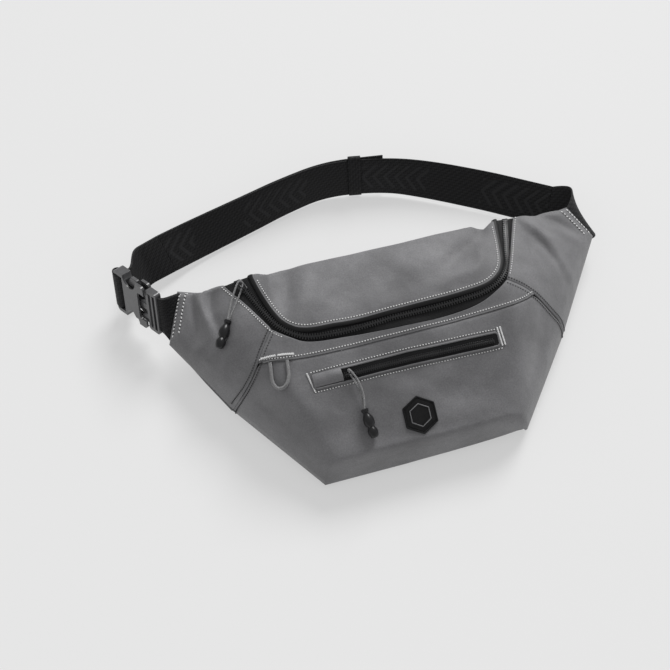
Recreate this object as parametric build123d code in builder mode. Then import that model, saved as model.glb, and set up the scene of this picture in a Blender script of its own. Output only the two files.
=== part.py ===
"""Waist pack with a U-zip main compartment, a zipped front pocket and a buckled webbing strap.

The pack lies on its back. The origin is the centre of the back panel's underside, +Y points to the
pack's top edge, +X to its sewn strap end and +Z out of its front. All sizes are in millimetres.
"""

from build123d import *
import math
import os

# ---------------------------------------------------------------- driving dimensions
BACK_THICKNESS = 8.0
WALL = 4.0
LINING_INSET = 4.2
LINING_THICKNESS = 0.8
TALL = 130.0

BOTTOM_HALF_WIDTH = 92.0
BOTTOM_Y = -90.0
TOP_Y = 96.0
TOP_LEAN = 6.0
DEPTH_AT_ZIP = 86.0
FRONT_SLOPE = 0.46
BOTTOM_ROLL_Y = -84.0

SEAM_CENTRE_Y = -2.0
SEAM_END = (120.0, 5.0)
DART_TOP = (110.0, 18.0)
DART_FOOT = (152.0, -1.0)
LEG_END = (142.0, TOP_Y)
WING_TIP_LOW = (198.0, 67.0)
WING_TIP_HIGH = (181.0, 101.0)
WING_THICKNESS = 7.0

ZIP_CORNER = (100.0, 14.0)
LEG_TOP = (143.0, 120.0)
ZIP_CENTRE_Y = 8.0
ZIP_CORNER_RADIUS = 22.0
TAPE_WIDTH = 8.0
TEETH_WIDTH = 2.2
CHAIN_GAP = 1.8
TAPE_DEPTH = 0.4
TAPE_THICKNESS = 1.0
TEETH_DEPTH = 0.0
TEETH_THICKNESS = 2.0
PIPING_WIDTH = 2.0

LID_HINGE_Z = 30.0
LID_GAP = 1.0

POCKET_Y = -19.0
POCKET_LEFT = -84.0
POCKET_RIGHT = 80.0
POCKET_HEIGHT = 12.0
GARAGE_LENGTH = 24.0

CORD_DIAMETER = 1.6
BAR_RADIUS = 0.9
SLIDER_LENGTH = 12.0
SLIDER_WIDTH = 8.0
PLATE = 1.2
BAR_HEIGHT = 6.4
PLATE_TOP = 2.2
PLATE_BOTTOM = 2.6
POST_WIDTH = 1.0
MAIN_SLIDER_Y = 79.0
MAIN_BAR_Y = -3.0
POCKET_SLIDER_X = -52.0
MAIN_PULL_ANGLE = 30.0
POCKET_PULL_ANGLE = 8.0
PULL_CORD_LENGTH = 32.0
TOGGLE_LENGTH = 26.0
TOGGLE_RADIUS = 4.8

POCKET_GAP = 1.8
STOP_LENGTH = 4.0
BARTACK = 2.4
POCKET_DROP = 27.0
BADGE_RADIUS = 18.0
BADGE_DROP = 50.0
LOOP_DIAMETER = 3.0
LOOP_WIDTH = 14.0
LOOP_LENGTH = 22.0
LOOP_X = -108.0

WEBBING = 38.0
WEBBING_THICKNESS = 1.6
STRAP_RISE = 7.0
BUCKLE_LIFT = 9.0
STRAP_LIFT = 2.8
KEEPER_WIDTH = 12.0
KEEPER_WALL = 1.4
KEEPER_GAP = 0.4

BUCKLE_START = (-196.5, 88.0, 45.0)
BUCKLE_OUT = (-0.54, 0.80, -0.27)
BUCKLE_FACE = (-0.84, -0.47, 0.28)
BUCKLE_LENGTH = 56.0
BUCKLE_WIDTH = 47.0
BUCKLE_THICKNESS = 10.0
BUCKLE_SHEET = 2.0
BASE_LENGTH = 14.0

os.makedirs("parts", exist_ok=True)


def finish(builder, name):
    """Name a finished piece and write it to its own file."""
    builder.part.label = name
    export_step(builder.part, f"parts/{name}.step")


def mirrored(point):
    """The same point on the pack's other side."""
    return (-point[0], *point[1:])


# ---------------------------------------------------------------- the pack's outer form
CORE_CENTRE = Vector(0, 0, 30)


def facet(a, b, c):
    """The plane through three points, facing away from the middle of the pack."""
    a, b, c = Vector(*a), Vector(*b), Vector(*c)
    normal = (b - a).cross(c - a)
    if normal.dot(CORE_CENTRE - a) > 0:
        normal = -normal
    return Plane(origin=a, z_dir=normal)


def front_height(y):
    """Height of the sloping front at a given distance up the pack."""
    return DEPTH_AT_ZIP + FRONT_SLOPE * (y - 22.0)


BOTTOM_CORNER = (BOTTOM_HALF_WIDTH, BOTTOM_Y, 8.0)
WING_LOW = (*WING_TIP_LOW, 34.0)
SHOULDER = (96.0, 21.0, 85.5)
SEAM_CORNER = (*SEAM_END, 74.0)

front_plane = facet((-50, -40, front_height(-40)), (50, -40, front_height(-40)), (0, 20, front_height(20)))
roll_plane = facet(
    (-50, BOTTOM_Y, 8), (50, BOTTOM_Y, 8), (0, BOTTOM_ROLL_Y, front_height(BOTTOM_ROLL_Y))
)
lid_plane = facet((-50, 22, DEPTH_AT_ZIP), (50, 22, DEPTH_AT_ZIP), (0, 84, 89))
top_plane = facet((-50, TOP_Y, 0), (50, TOP_Y, 0), (0, TOP_Y - TOP_LEAN, 89))
side_planes = [
    facet(BOTTOM_CORNER, WING_LOW, SEAM_CORNER),
    facet(mirrored(BOTTOM_CORNER), mirrored(WING_LOW), mirrored(SEAM_CORNER)),
]
shoulder_planes = [
    facet(SHOULDER, SEAM_CORNER, WING_LOW),
    facet(mirrored(SHOULDER), mirrored(SEAM_CORNER), mirrored(WING_LOW)),
]

CORE_OUTLINE = [
    (-BOTTOM_HALF_WIDTH, BOTTOM_Y),
    (BOTTOM_HALF_WIDTH, BOTTOM_Y),
    DART_FOOT,
    DART_TOP,
    LEG_END,
    mirrored(LEG_END),
    mirrored(DART_TOP),
    mirrored(DART_FOOT),
]
WING_OUTLINE = [DART_FOOT, WING_TIP_LOW, WING_TIP_HIGH, LEG_END, DART_TOP]


def core_form(inset):
    """The middle of the pack as one solid, every face moved inwards by the inset."""
    with BuildPart() as form:
        with BuildSketch(Plane.XY.offset(inset)):
            Polygon(*CORE_OUTLINE, align=None)
            if inset:
                offset(amount=-inset, kind=Kind.INTERSECTION, mode=Mode.REPLACE)
        extrude(amount=TALL)
        for plane in [front_plane, roll_plane, lid_plane, top_plane, *side_planes, *shoulder_planes]:
            split(bisect_by=plane.offset(-inset), keep=Keep.BOTTOM)
    return form.part


def lid_zone(inset):
    """Flat U outline of the main zip, open towards the top edge, moved inwards by the inset."""
    with BuildSketch() as zone:
        Polygon(
            mirrored(ZIP_CORNER), (0, ZIP_CENTRE_Y), ZIP_CORNER, LEG_TOP, mirrored(LEG_TOP), align=None
        )
        fillet(zone.vertices().group_by(Axis.Y)[1], ZIP_CORNER_RADIUS)
        if inset:
            offset(amount=-inset, kind=Kind.INTERSECTION, mode=Mode.REPLACE)
    return zone.sketch


def layer(shallow, deep):
    """A skin of the core between two depths below its outer face."""
    with BuildPart() as skin:
        add(core_form(shallow))
        add(core_form(deep), mode=Mode.SUBTRACT)
    return skin.part


def above_back():
    """Everything of the core above the back panel."""
    with BuildPart() as upper:
        with BuildSketch(Plane.XY.offset(BACK_THICKNESS)):
            Rectangle(500, 400)
        extrude(amount=TALL)
    return upper.part


tape_outer = lid_zone(0)
tape_inner = lid_zone(TAPE_WIDTH)
lid_tape_outer = lid_zone(TAPE_WIDTH + CHAIN_GAP)
lid_edge = lid_zone(2 * TAPE_WIDTH + CHAIN_GAP)

walls = layer(0, WALL)

with BuildSketch() as front_zone:
    Polygon(
        (-BOTTOM_HALF_WIDTH - 2, BOTTOM_Y - 2),
        (BOTTOM_HALF_WIDTH + 2, BOTTOM_Y - 2),
        (DART_FOOT[0] + 2, DART_FOOT[1]),
        SEAM_END,
        (0, SEAM_CENTRE_Y),
        mirrored(SEAM_END),
        (-DART_FOOT[0] - 2, DART_FOOT[1]),
        align=None,
    )

with BuildSketch() as lid_half_plane:
    with Locations((0, 60)):
        Rectangle(300, 160)
    add(front_zone.sketch, mode=Mode.SUBTRACT)

# ---------------------------------------------------------------- back panel
with BuildPart() as back_panel:
    add(core_form(0))
    with BuildSketch():
        Rectangle(400, 300)
    extrude(amount=BACK_THICKNESS, mode=Mode.INTERSECT)
finish(back_panel, "back_panel")

# ---------------------------------------------------------------- front panel with the pocket's window
pocket_frame = Plane(
    origin=(0, POCKET_Y, front_height(POCKET_Y)), x_dir=(1, 0, 0), z_dir=front_plane.z_dir
)
POCKET_CENTRE_X = (POCKET_LEFT + POCKET_RIGHT) / 2
POCKET_LENGTH = POCKET_RIGHT - POCKET_LEFT

with BuildPart() as front_panel:
    add(walls)
    add(above_back(), mode=Mode.INTERSECT)
    extrude(front_zone.sketch, amount=TALL, mode=Mode.INTERSECT)
    with BuildSketch(pocket_frame):
        with Locations((POCKET_CENTRE_X, 0)):
            Rectangle(POCKET_LENGTH, POCKET_HEIGHT)
    extrude(amount=-WALL - 2, both=True, mode=Mode.SUBTRACT)
finish(front_panel, "front_panel")

# ---------------------------------------------------------------- band between the seam and the zip
with BuildPart() as upper_walls:
    add(walls)
    add(above_back(), mode=Mode.INTERSECT)
    extrude(lid_half_plane.sketch, amount=TALL, mode=Mode.INTERSECT)

BAND_TOP_Y = 30.0

with BuildSketch() as band_zone:
    with Locations((0, BAND_TOP_Y - 100)):
        Rectangle(400, 200)

with BuildPart() as middle_band:
    add(upper_walls.part)
    extrude(tape_outer, amount=TALL, mode=Mode.SUBTRACT)
    extrude(band_zone.sketch, amount=TALL, mode=Mode.INTERSECT)
finish(middle_band, "middle_band")

# ---------------------------------------------------------------- walls beside the zip's legs
for side, sign in (("left", -1), ("right", 1)):
    with BuildPart() as gusset:
        add(upper_walls.part)
        extrude(tape_outer, amount=TALL, mode=Mode.SUBTRACT)
        extrude(band_zone.sketch, amount=TALL, mode=Mode.SUBTRACT)
        with BuildSketch():
            with Locations((sign * 150, 0)):
                Rectangle(300, 300)
        extrude(amount=TALL, mode=Mode.INTERSECT)
    finish(gusset, f"{side}_gusset")

# ---------------------------------------------------------------- wall below the lid's hinge line
with BuildSketch(Plane.XY.offset(BACK_THICKNESS)) as hinge_slab:
    Rectangle(400, 300)

with BuildPart() as top_wall:
    add(upper_walls.part)
    extrude(tape_outer, amount=TALL, mode=Mode.INTERSECT)
    extrude(hinge_slab.sketch, amount=LID_HINGE_Z - BACK_THICKNESS, mode=Mode.INTERSECT)
finish(top_wall, "top_wall")


# ---------------------------------------------------------------- lid, its piping and its lining
def above_hinge():
    """Everything higher than the lid's hinge line."""
    with BuildPart() as upper:
        with BuildSketch(Plane.XY.offset(LID_HINGE_Z + LID_GAP)):
            Rectangle(500, 400)
        extrude(amount=TALL)
    return upper.part


def lid_layer(shallow, deep, outer, inner=None):
    """A skin of the lid between two depths and between two U outlines."""
    with BuildPart() as skin:
        add(layer(shallow, deep))
        add(above_hinge(), mode=Mode.INTERSECT)
        extrude(outer, amount=TALL, mode=Mode.INTERSECT)
        if inner:
            extrude(inner, amount=TALL, mode=Mode.SUBTRACT)
    return skin.part


piping_inner = lid_zone(2 * TAPE_WIDTH + CHAIN_GAP + PIPING_WIDTH)

with BuildPart() as lid_panel:
    add(lid_layer(0, WALL, piping_inner))
finish(lid_panel, "lid_panel")

with BuildPart() as lid_piping:
    add(lid_layer(-1.0, WALL - 1, lid_edge, piping_inner))
finish(lid_piping, "lid_piping")

with BuildPart() as lid_lining:
    add(lid_layer(LINING_INSET, LINING_INSET + LINING_THICKNESS, piping_inner))
finish(lid_lining, "lid_lining")

# ---------------------------------------------------------------- main zip: tape and teeth in two halves
body_chain_outer = lid_zone(TAPE_WIDTH - TEETH_WIDTH)
lid_chain_inner = lid_zone(TAPE_WIDTH + CHAIN_GAP + TEETH_WIDTH)
TAPE_BACK = TAPE_DEPTH + TAPE_THICKNESS
TEETH_BACK = TEETH_DEPTH + TEETH_THICKNESS

with BuildPart() as main_zip_tape_body:
    add(lid_layer(TAPE_DEPTH, TAPE_BACK, tape_outer, body_chain_outer))
finish(main_zip_tape_body, "main_zip_tape_body")

with BuildPart() as main_zip_teeth_body:
    add(lid_layer(TEETH_DEPTH, TEETH_BACK, body_chain_outer, tape_inner))
finish(main_zip_teeth_body, "main_zip_teeth_body")

with BuildPart() as main_zip_teeth_lid:
    add(lid_layer(TEETH_DEPTH, TEETH_BACK, lid_tape_outer, lid_chain_inner))
finish(main_zip_teeth_lid, "main_zip_teeth_lid")

with BuildPart() as main_zip_tape_lid:
    add(lid_layer(TAPE_DEPTH, TAPE_BACK, lid_chain_inner, lid_edge))
finish(main_zip_tape_lid, "main_zip_tape_lid")

# ---------------------------------------------------------------- lining of the main compartment
with BuildPart() as main_lining:
    add(layer(LINING_INSET, LINING_INSET + LINING_THICKNESS))
    add(above_back(), mode=Mode.INTERSECT)
    with BuildPart(mode=Mode.PRIVATE) as mouth:
        with BuildSketch(Plane.XY.offset(LID_HINGE_Z)):
            add(tape_inner)
        extrude(amount=TALL)
    add(mouth.part, mode=Mode.SUBTRACT)
    with BuildSketch(pocket_frame):
        with Locations((POCKET_CENTRE_X, 0)):
            Rectangle(POCKET_LENGTH, POCKET_HEIGHT)
    extrude(amount=-2 * WALL, mode=Mode.SUBTRACT)
finish(main_lining, "main_lining")

# ---------------------------------------------------------------- wings
for side, sign in (("left", -1), ("right", 1)):
    def here(point):
        return (sign * point[0], *point[1:])

    underside = facet(
        here((*WING_TIP_LOW, 34 - WING_THICKNESS)),
        here((*WING_TIP_HIGH, 42 - WING_THICKNESS)),
        here((115, 45, 0)),
    )
    with BuildPart() as wing:
        with BuildSketch():
            Polygon(*[here(point) for point in WING_OUTLINE], align=None)
        extrude(amount=TALL)
        for plane in (*side_planes, *shoulder_planes, lid_plane):
            split(bisect_by=plane, keep=Keep.BOTTOM)
        split(bisect_by=underside, keep=Keep.TOP if underside.z_dir.Z > 0 else Keep.BOTTOM)
    finish(wing, f"{side}_wing")


# ---------------------------------------------------------------- sliders, pull cords and toggles
def chain_frame(point, plane, along):
    """A frame on a flat face of the pack: x along the zip, z out of the face."""
    normal = plane.z_dir
    height = plane.origin.Z - (
        normal.X * (point[0] - plane.origin.X) + normal.Y * (point[1] - plane.origin.Y)
    ) / normal.Z
    rise = -(normal.X * along[0] + normal.Y * along[1]) / normal.Z
    return Plane(origin=(*point, height), x_dir=(*along, rise), z_dir=normal)


leg_vector = Vector(LEG_TOP[0] - ZIP_CORNER[0], ZIP_CORNER[1] - LEG_TOP[1]).normalized()
leg_inward = Vector(-leg_vector.Y, leg_vector.X)
leg_start = Vector(*mirrored(LEG_TOP))
main_slider_run = (LEG_TOP[1] - MAIN_SLIDER_Y) / -leg_vector.Y
gap_point = leg_start + leg_vector * main_slider_run + leg_inward * (TAPE_WIDTH + CHAIN_GAP / 2)
main_frame = chain_frame((gap_point.X, gap_point.Y), shoulder_planes[1], (leg_vector.X, leg_vector.Y))
pocket_slider_frame = Plane(
    origin=pocket_frame.from_local_coords((POCKET_SLIDER_X, 0, 0)),
    x_dir=(1, 0, 0),
    z_dir=pocket_frame.z_dir,
)


def upright_prism(frame, length, width, centre_y):
    """A vertical block over a frame, long along the frame's x."""
    flat_x = Vector(frame.x_dir.X, frame.x_dir.Y).normalized()
    ground = Plane(origin=(frame.origin.X, frame.origin.Y, 0), x_dir=flat_x, z_dir=(0, 0, 1))
    with BuildPart() as block:
        with BuildSketch(ground):
            with Locations((0, centre_y)):
                Rectangle(length, width)
        extrude(amount=TALL)
    return block.part


def slab(frame, low, high):
    """A wide flat slab between two heights over a frame."""
    with BuildPart() as flat:
        with BuildSketch(frame.offset(low)):
            Rectangle(120, 120)
        extrude(amount=high - low)
    return flat.part


def bar_frame(frame, centre_y):
    """The frame at the middle of a slider's cord bar."""
    return Plane(
        origin=frame.from_local_coords((0, centre_y, BAR_HEIGHT)), x_dir=frame.x_dir, z_dir=frame.z_dir
    )


def cord_bar(bar):
    """A round bar on two short posts, standing on the slider's upper plate."""
    half = SLIDER_LENGTH / 2 - 1
    post = BAR_HEIGHT - PLATE_TOP
    bar_start = bar.from_local_coords((-half - BAR_RADIUS, 0, 0))
    with BuildPart() as bridge:
        with BuildSketch(Plane(origin=bar_start, x_dir=bar.y_dir, z_dir=bar.x_dir)):
            Circle(BAR_RADIUS)
        extrude(amount=2 * (half + BAR_RADIUS))
        with BuildSketch(bar):
            with Locations((-half, 0), (half, 0)):
                Rectangle(2 * BAR_RADIUS, 2 * BAR_RADIUS)
        extrude(amount=-post)
    return bridge.part


bars = {"main": bar_frame(main_frame, MAIN_BAR_Y), "pocket": bar_frame(pocket_slider_frame, 0)}

# the main slider wraps the body half of the chain, so that the lid swings clear of it
with BuildPart() as main_slider:
    add(upright_prism(main_frame, SLIDER_LENGTH, SLIDER_WIDTH - 1, -SLIDER_WIDTH / 2 + 1))
    with BuildPart(mode=Mode.PRIVATE) as tape_way:
        add(slab(main_frame, -PLATE_BOTTOM, PLATE_TOP - PLATE))
        add(upright_prism(main_frame, SLIDER_LENGTH / 2, POST_WIDTH, 0), mode=Mode.SUBTRACT)
    add(slab(main_frame, -PLATE_BOTTOM - PLATE, PLATE_TOP), mode=Mode.INTERSECT)
    add(tape_way.part, mode=Mode.SUBTRACT)
    add(cord_bar(bars["main"]))
finish(main_slider, "main_slider")

with BuildPart() as pocket_slider:
    with BuildSketch(pocket_slider_frame.offset(-PLATE_BOTTOM - PLATE)):
        Rectangle(SLIDER_LENGTH, SLIDER_WIDTH)
    extrude(amount=PLATE)
    with BuildSketch(pocket_slider_frame.offset(PLATE_TOP - PLATE)):
        Rectangle(SLIDER_LENGTH, SLIDER_WIDTH)
    extrude(amount=PLATE)
    with BuildSketch(pocket_slider_frame.offset(-PLATE_BOTTOM)):
        Rectangle(SLIDER_LENGTH / 2, POST_WIDTH)
    extrude(amount=PLATE_BOTTOM + PLATE_TOP - PLATE)
    add(cord_bar(bars["pocket"]))
finish(pocket_slider, "pocket_slider")


def pull_frame(bar, angle):
    """The plane that a pull cord's loop lies in: x away from the bar, y up from the fabric."""
    turned = math.radians(angle)
    away = bar.x_dir * math.sin(turned) - bar.y_dir * math.cos(turned)
    return Plane(origin=bar.origin, x_dir=away, z_dir=away.cross(bar.z_dir))


LOOP_HALF = 2.7
LOOP_RADIUS = 2.5
COLLAR_HALF = 1.0
pull_plans = {
    "main": pull_frame(bars["main"], MAIN_PULL_ANGLE),
    "pocket": pull_frame(bars["pocket"], POCKET_PULL_ANGLE),
}
for pull_name, plan in pull_plans.items():
    with BuildLine(plan) as pull_route:
        FilletPolyline(
            (PULL_CORD_LENGTH, COLLAR_HALF),
            (-LOOP_HALF, LOOP_HALF),
            (-LOOP_HALF, -LOOP_HALF),
            (PULL_CORD_LENGTH, -COLLAR_HALF),
            radius=LOOP_RADIUS,
        )
    start = pull_route.line @ 0
    heading = pull_route.line % 0
    with BuildPart() as pull_cord:
        with BuildSketch(Plane(origin=start, z_dir=heading)):
            Circle(CORD_DIAMETER / 2)
        sweep(path=pull_route.line)
    pull_length = round(pull_route.wires()[0].length, 1)
    print(pull_name, "pull cord: length", pull_length, "loop radius", LOOP_RADIUS)
    finish(pull_cord, f"{pull_name}_pull_cord")

    with BuildPart() as pull_toggle:
        with BuildSketch(plan):
            with BuildLine():
                Polyline(
                    (PULL_CORD_LENGTH + 0.1, 0),
                    (PULL_CORD_LENGTH + 0.1, 3.0),
                    (PULL_CORD_LENGTH + 3.0, 3.0),
                    (PULL_CORD_LENGTH + 5.0, 2.6),
                    (PULL_CORD_LENGTH + 10.0, TOGGLE_RADIUS),
                    (PULL_CORD_LENGTH + 19.0, TOGGLE_RADIUS - 0.6),
                    (PULL_CORD_LENGTH + TOGGLE_LENGTH, 2.4),
                    (PULL_CORD_LENGTH + TOGGLE_LENGTH, 0),
                    close=True,
                )
            make_face()
        revolve(axis=Axis(plan.origin, plan.x_dir))
    finish(pull_toggle, f"{pull_name}_pull_toggle")

for pull_name, plan in pull_plans.items():
    bar = bars[pull_name]
    print(pull_name, "bar", bar.origin, "axis", bar.x_dir, "away", plan.x_dir)
print("main chain direction", main_frame.x_dir)

# ---------------------------------------------------------------- pocket zip
with BuildPart() as pocket_zip_tape:
    with BuildSketch(pocket_frame.offset(-TAPE_DEPTH)):
        with Locations((POCKET_CENTRE_X, 0)):
            Rectangle(POCKET_LENGTH, POCKET_HEIGHT)
            Rectangle(POCKET_LENGTH, POCKET_GAP + 2 * TEETH_WIDTH, mode=Mode.SUBTRACT)
    extrude(amount=-TAPE_THICKNESS)
finish(pocket_zip_tape, "pocket_zip_tape")

with BuildPart() as pocket_zip_teeth:
    with BuildSketch(pocket_frame.offset(-TEETH_DEPTH)):
        with Locations((POCKET_CENTRE_X, 0)):
            Rectangle(POCKET_LENGTH, POCKET_GAP + 2 * TEETH_WIDTH)
            Rectangle(POCKET_LENGTH - 2 * STOP_LENGTH, POCKET_GAP, mode=Mode.SUBTRACT)
    extrude(amount=-TEETH_THICKNESS)
finish(pocket_zip_teeth, "pocket_zip_teeth")

with BuildPart() as pocket_zip_garage:
    with BuildSketch(pocket_frame):
        with Locations((POCKET_LEFT + GARAGE_LENGTH / 2, 0)):
            Rectangle(GARAGE_LENGTH, POCKET_HEIGHT)
    extrude(amount=TAPE_THICKNESS)
finish(pocket_zip_garage, "pocket_zip_garage")

with BuildPart() as pocket_bartacks:
    with BuildSketch(pocket_frame):
        with Locations((POCKET_LEFT - BARTACK / 2, 0), (POCKET_RIGHT + BARTACK / 2, 0)):
            Rectangle(BARTACK, POCKET_HEIGHT + 2)
    extrude(amount=BARTACK / 2)
finish(pocket_bartacks, "pocket_bartacks")

LINING_BACK = LINING_INSET + LINING_THICKNESS
with BuildPart() as pocket_lining:
    with BuildSketch(pocket_frame.offset(-LINING_BACK)):
        with Locations((POCKET_CENTRE_X, -POCKET_DROP / 2)):
            Rectangle(POCKET_LENGTH + 4, POCKET_HEIGHT + POCKET_DROP + 4)
    extrude(amount=-2 * LINING_THICKNESS)
finish(pocket_lining, "pocket_lining")

# ---------------------------------------------------------------- badge and cord loop on the front
with BuildPart() as front_badge:
    with BuildSketch(pocket_frame):
        with Locations((0, -BADGE_DROP)):
            RegularPolygon(BADGE_RADIUS, 6, rotation=30)
    extrude(amount=TAPE_THICKNESS)
finish(front_badge, "front_badge")

loop_frame = pocket_frame.offset(LOOP_DIAMETER / 2 + 0.2)
loop_top = (SEAM_END[1] - 3 - POCKET_Y) / pocket_frame.z_dir.Z
with BuildLine(loop_frame) as loop_route:
    FilletPolyline(
        (LOOP_X - LOOP_WIDTH / 2, loop_top),
        (LOOP_X - LOOP_WIDTH / 2, loop_top - LOOP_LENGTH),
        (LOOP_X + LOOP_WIDTH / 2, loop_top - LOOP_LENGTH),
        (LOOP_X + LOOP_WIDTH / 2, loop_top),
        radius=LOOP_WIDTH * 0.45,
    )
with BuildPart() as cord_loop:
    with BuildSketch(Plane(origin=loop_route.line @ 0, z_dir=loop_route.line % 0)):
        Circle(LOOP_DIAMETER / 2)
    sweep(path=loop_route.line)
print("cord loop: length", round(loop_route.wires()[0].length, 1), "radius", LOOP_WIDTH * 0.45)
finish(cord_loop, "cord_loop")

with BuildPart() as loop_bartack:
    with BuildSketch(loop_frame.offset(-LOOP_DIAMETER / 2)):
        with Locations((LOOP_X, loop_top + BARTACK / 2)):
            Rectangle(LOOP_WIDTH + 12, BARTACK)
    extrude(amount=LOOP_DIAMETER)
finish(loop_bartack, "loop_bartack")


# ---------------------------------------------------------------- buckle
buckle_frame = Plane(origin=BUCKLE_START, x_dir=BUCKLE_OUT, z_dir=BUCKLE_FACE)
HALF_THICK = BUCKLE_THICKNESS / 2
ARM_Y = 15.0
ARM_WIDTH = 4.0
ARM_THICKNESS = 3.6
ARM_END = 40.0
PAD_START = 27.0
PAD_EDGE = BUCKLE_WIDTH / 2
HOUSING_START = BASE_LENGTH + 1.0
WINDOW_END = ARM_END + 1.5
SLOT_START = 44.5
BAR_CENTRE = BUCKLE_LENGTH - 2.5
WEB_BAR_RADIUS = 2.2
RAIL = 3.0
SLIT = 2.2
GRIP_DEPTH = 10.0

with BuildPart() as buckle_base:
    with BuildSketch(buckle_frame.offset(-HALF_THICK + 2)):
        with Locations((BASE_LENGTH / 2, 0)):
            RectangleRounded(BASE_LENGTH, BUCKLE_WIDTH - 1, 2.5)
        with Locations((BASE_LENGTH / 2 - 3.0, 0), (BASE_LENGTH / 2 + 2.4, 0)):
            Rectangle(3.2, WEBBING + 1, mode=Mode.SUBTRACT)
    extrude(amount=BUCKLE_THICKNESS - 4)
    with BuildSketch(buckle_frame.offset(-ARM_THICKNESS / 2)):
        with Locations((BASE_LENGTH + 11, 0)):
            Rectangle(22, 7)
    extrude(amount=ARM_THICKNESS)
    fillet(buckle_base.edges().filter_by(lambda edge: abs(edge.length - 22) < 0.1), 0.8)
finish(buckle_base, "buckle_base")

for arm_name, sign in (("upper", -1), ("lower", 1)):
    with BuildPart() as arm:
        with BuildSketch(buckle_frame.offset(-ARM_THICKNESS / 2)):
            with BuildLine():
                Polyline(
                    (BASE_LENGTH + 0.5, sign * (ARM_Y - ARM_WIDTH / 2)),
                    (BASE_LENGTH + 0.5, sign * (ARM_Y + ARM_WIDTH / 2)),
                    (PAD_START - 2, sign * (ARM_Y + ARM_WIDTH / 2)),
                    (PAD_START, sign * PAD_EDGE),
                    (ARM_END - 5, sign * PAD_EDGE),
                    (ARM_END, sign * (ARM_Y + 1)),
                    (ARM_END, sign * (ARM_Y - ARM_WIDTH / 2)),
                    close=True,
                )
            make_face()
        extrude(amount=ARM_THICKNESS)
    finish(arm, f"buckle_arm_{arm_name}")

with BuildPart() as buckle_housing:
    with BuildSketch(buckle_frame.offset(-HALF_THICK)):
        with Locations(((HOUSING_START + BUCKLE_LENGTH) / 2, 0)):
            RectangleRounded(BUCKLE_LENGTH - HOUSING_START, BUCKLE_WIDTH, 3.5)
    extrude(amount=BUCKLE_THICKNESS)
    with BuildSketch(buckle_frame.offset(-HALF_THICK + BUCKLE_SHEET)):
        with Locations(((HOUSING_START + WINDOW_END) / 2 - 1, 0)):
            Rectangle(WINDOW_END - HOUSING_START + 2, BUCKLE_WIDTH - 2 * RAIL)
    extrude(amount=BUCKLE_THICKNESS - 2 * BUCKLE_SHEET, mode=Mode.SUBTRACT)
    with BuildSketch(buckle_frame.offset(-SLIT)):
        with Locations(((HOUSING_START + WINDOW_END) / 2 - 1, 0)):
            Rectangle(WINDOW_END - HOUSING_START + 2, BUCKLE_WIDTH + 2)
    extrude(amount=2 * SLIT, mode=Mode.SUBTRACT)
    with BuildSketch(buckle_frame.offset(-HALF_THICK)):
        for sign in (-1, 1):
            with Locations(((PAD_START + WINDOW_END) / 2, sign * PAD_EDGE)):
                Ellipse((WINDOW_END - PAD_START) / 2 + 1.5, GRIP_DEPTH)
        with Locations((HOUSING_START + 4, 0)):
            RectangleRounded(10, BUCKLE_WIDTH - 17, 3)
        with Locations(((SLOT_START + BAR_CENTRE) / 2, 0)):
            Rectangle(BAR_CENTRE - SLOT_START, WEBBING + 2)
        with Locations((BAR_CENTRE + 4, 0)):
            Rectangle(8, WEBBING + 2)
    extrude(amount=BUCKLE_THICKNESS, mode=Mode.SUBTRACT)
    with BuildSketch(
        Plane(
            origin=buckle_frame.from_local_coords((BAR_CENTRE, -WEBBING / 2 - 2, 0)),
            x_dir=buckle_frame.x_dir,
            z_dir=buckle_frame.y_dir,
        )
    ):
        Circle(WEB_BAR_RADIUS)
    extrude(amount=WEBBING + 4)
finish(buckle_housing, "buckle_housing")
for arm_name, sign in (("upper", -1), ("lower", 1)):
    print("arm", arm_name, "pivot", buckle_frame.from_local_coords((BASE_LENGTH + 0.5, sign * ARM_Y, 0)))
print("buckle out", buckle_frame.x_dir, "across", buckle_frame.y_dir, "face", buckle_frame.z_dir)


# ---------------------------------------------------------------- webbing
def across_plane(centre, width_way, heading):
    """The plane of a webbing's cross-section: x over its width, z along it."""
    width_way, heading = Vector(*width_way).normalized(), Vector(*heading).normalized()
    heading = (heading - width_way * heading.dot(width_way)).normalized()
    return Plane(origin=centre, x_dir=width_way, z_dir=heading)


def ring_plane(station, shift=0.0):
    """Cross-section of the strap where it stands on its lower edge and leans away from the pack."""
    x, y, lift, heading, lean = station
    turn, tilt = math.radians(heading), math.radians(lean)
    along = Vector(math.cos(turn), math.sin(turn), 0)
    out = Vector(along.Y, -along.X, 0)
    up = Vector(0, 0, 1) * math.cos(tilt) + out * math.sin(tilt)
    face = along.cross(up).normalized()
    edge_height = lift + WEBBING_THICKNESS / 2 * math.sin(tilt)
    middle = Vector(x, y, edge_height) + up * (WEBBING / 2) + face * shift
    return Plane(origin=middle, x_dir=up, z_dir=along)


def ribbon(planes, width, thickness):
    """Webbing lofted straight from one cross-section to the next."""
    with BuildPart() as band:
        for plane in planes:
            with BuildSketch(plane):
                Rectangle(width, thickness)
        loft(ruled=True)
    return band.part


# each station: x, y and height of the lower edge, heading in degrees, lean in degrees
RING = [
    (176, 108, STRAP_LIFT, 152, 52),
    (150, 124, STRAP_LIFT, 150, 46),
    (122, 141, STRAP_LIFT, 151, 44),
    (71, 169, STRAP_LIFT, 155, 36),
    (38, 184, STRAP_LIFT, 170.5, 26),
    (-16, 193, STRAP_LIFT, 170.5, 26),
    (-58, 184, STRAP_LIFT, 193, 28),
    (-87, 175, STRAP_LIFT, 195, 33),
    (-147, 158, STRAP_LIFT, 197, 44),
    (-174, 148, STRAP_RISE, 200, 46),
]
RING_LEFT = [RING[-1], (-200, 139, BUCKLE_LIFT, 200, 40)]

with BuildPart() as strap:
    add(ribbon([ring_plane(station) for station in RING], WEBBING, WEBBING_THICKNESS))
finish(strap, "strap")

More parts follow.
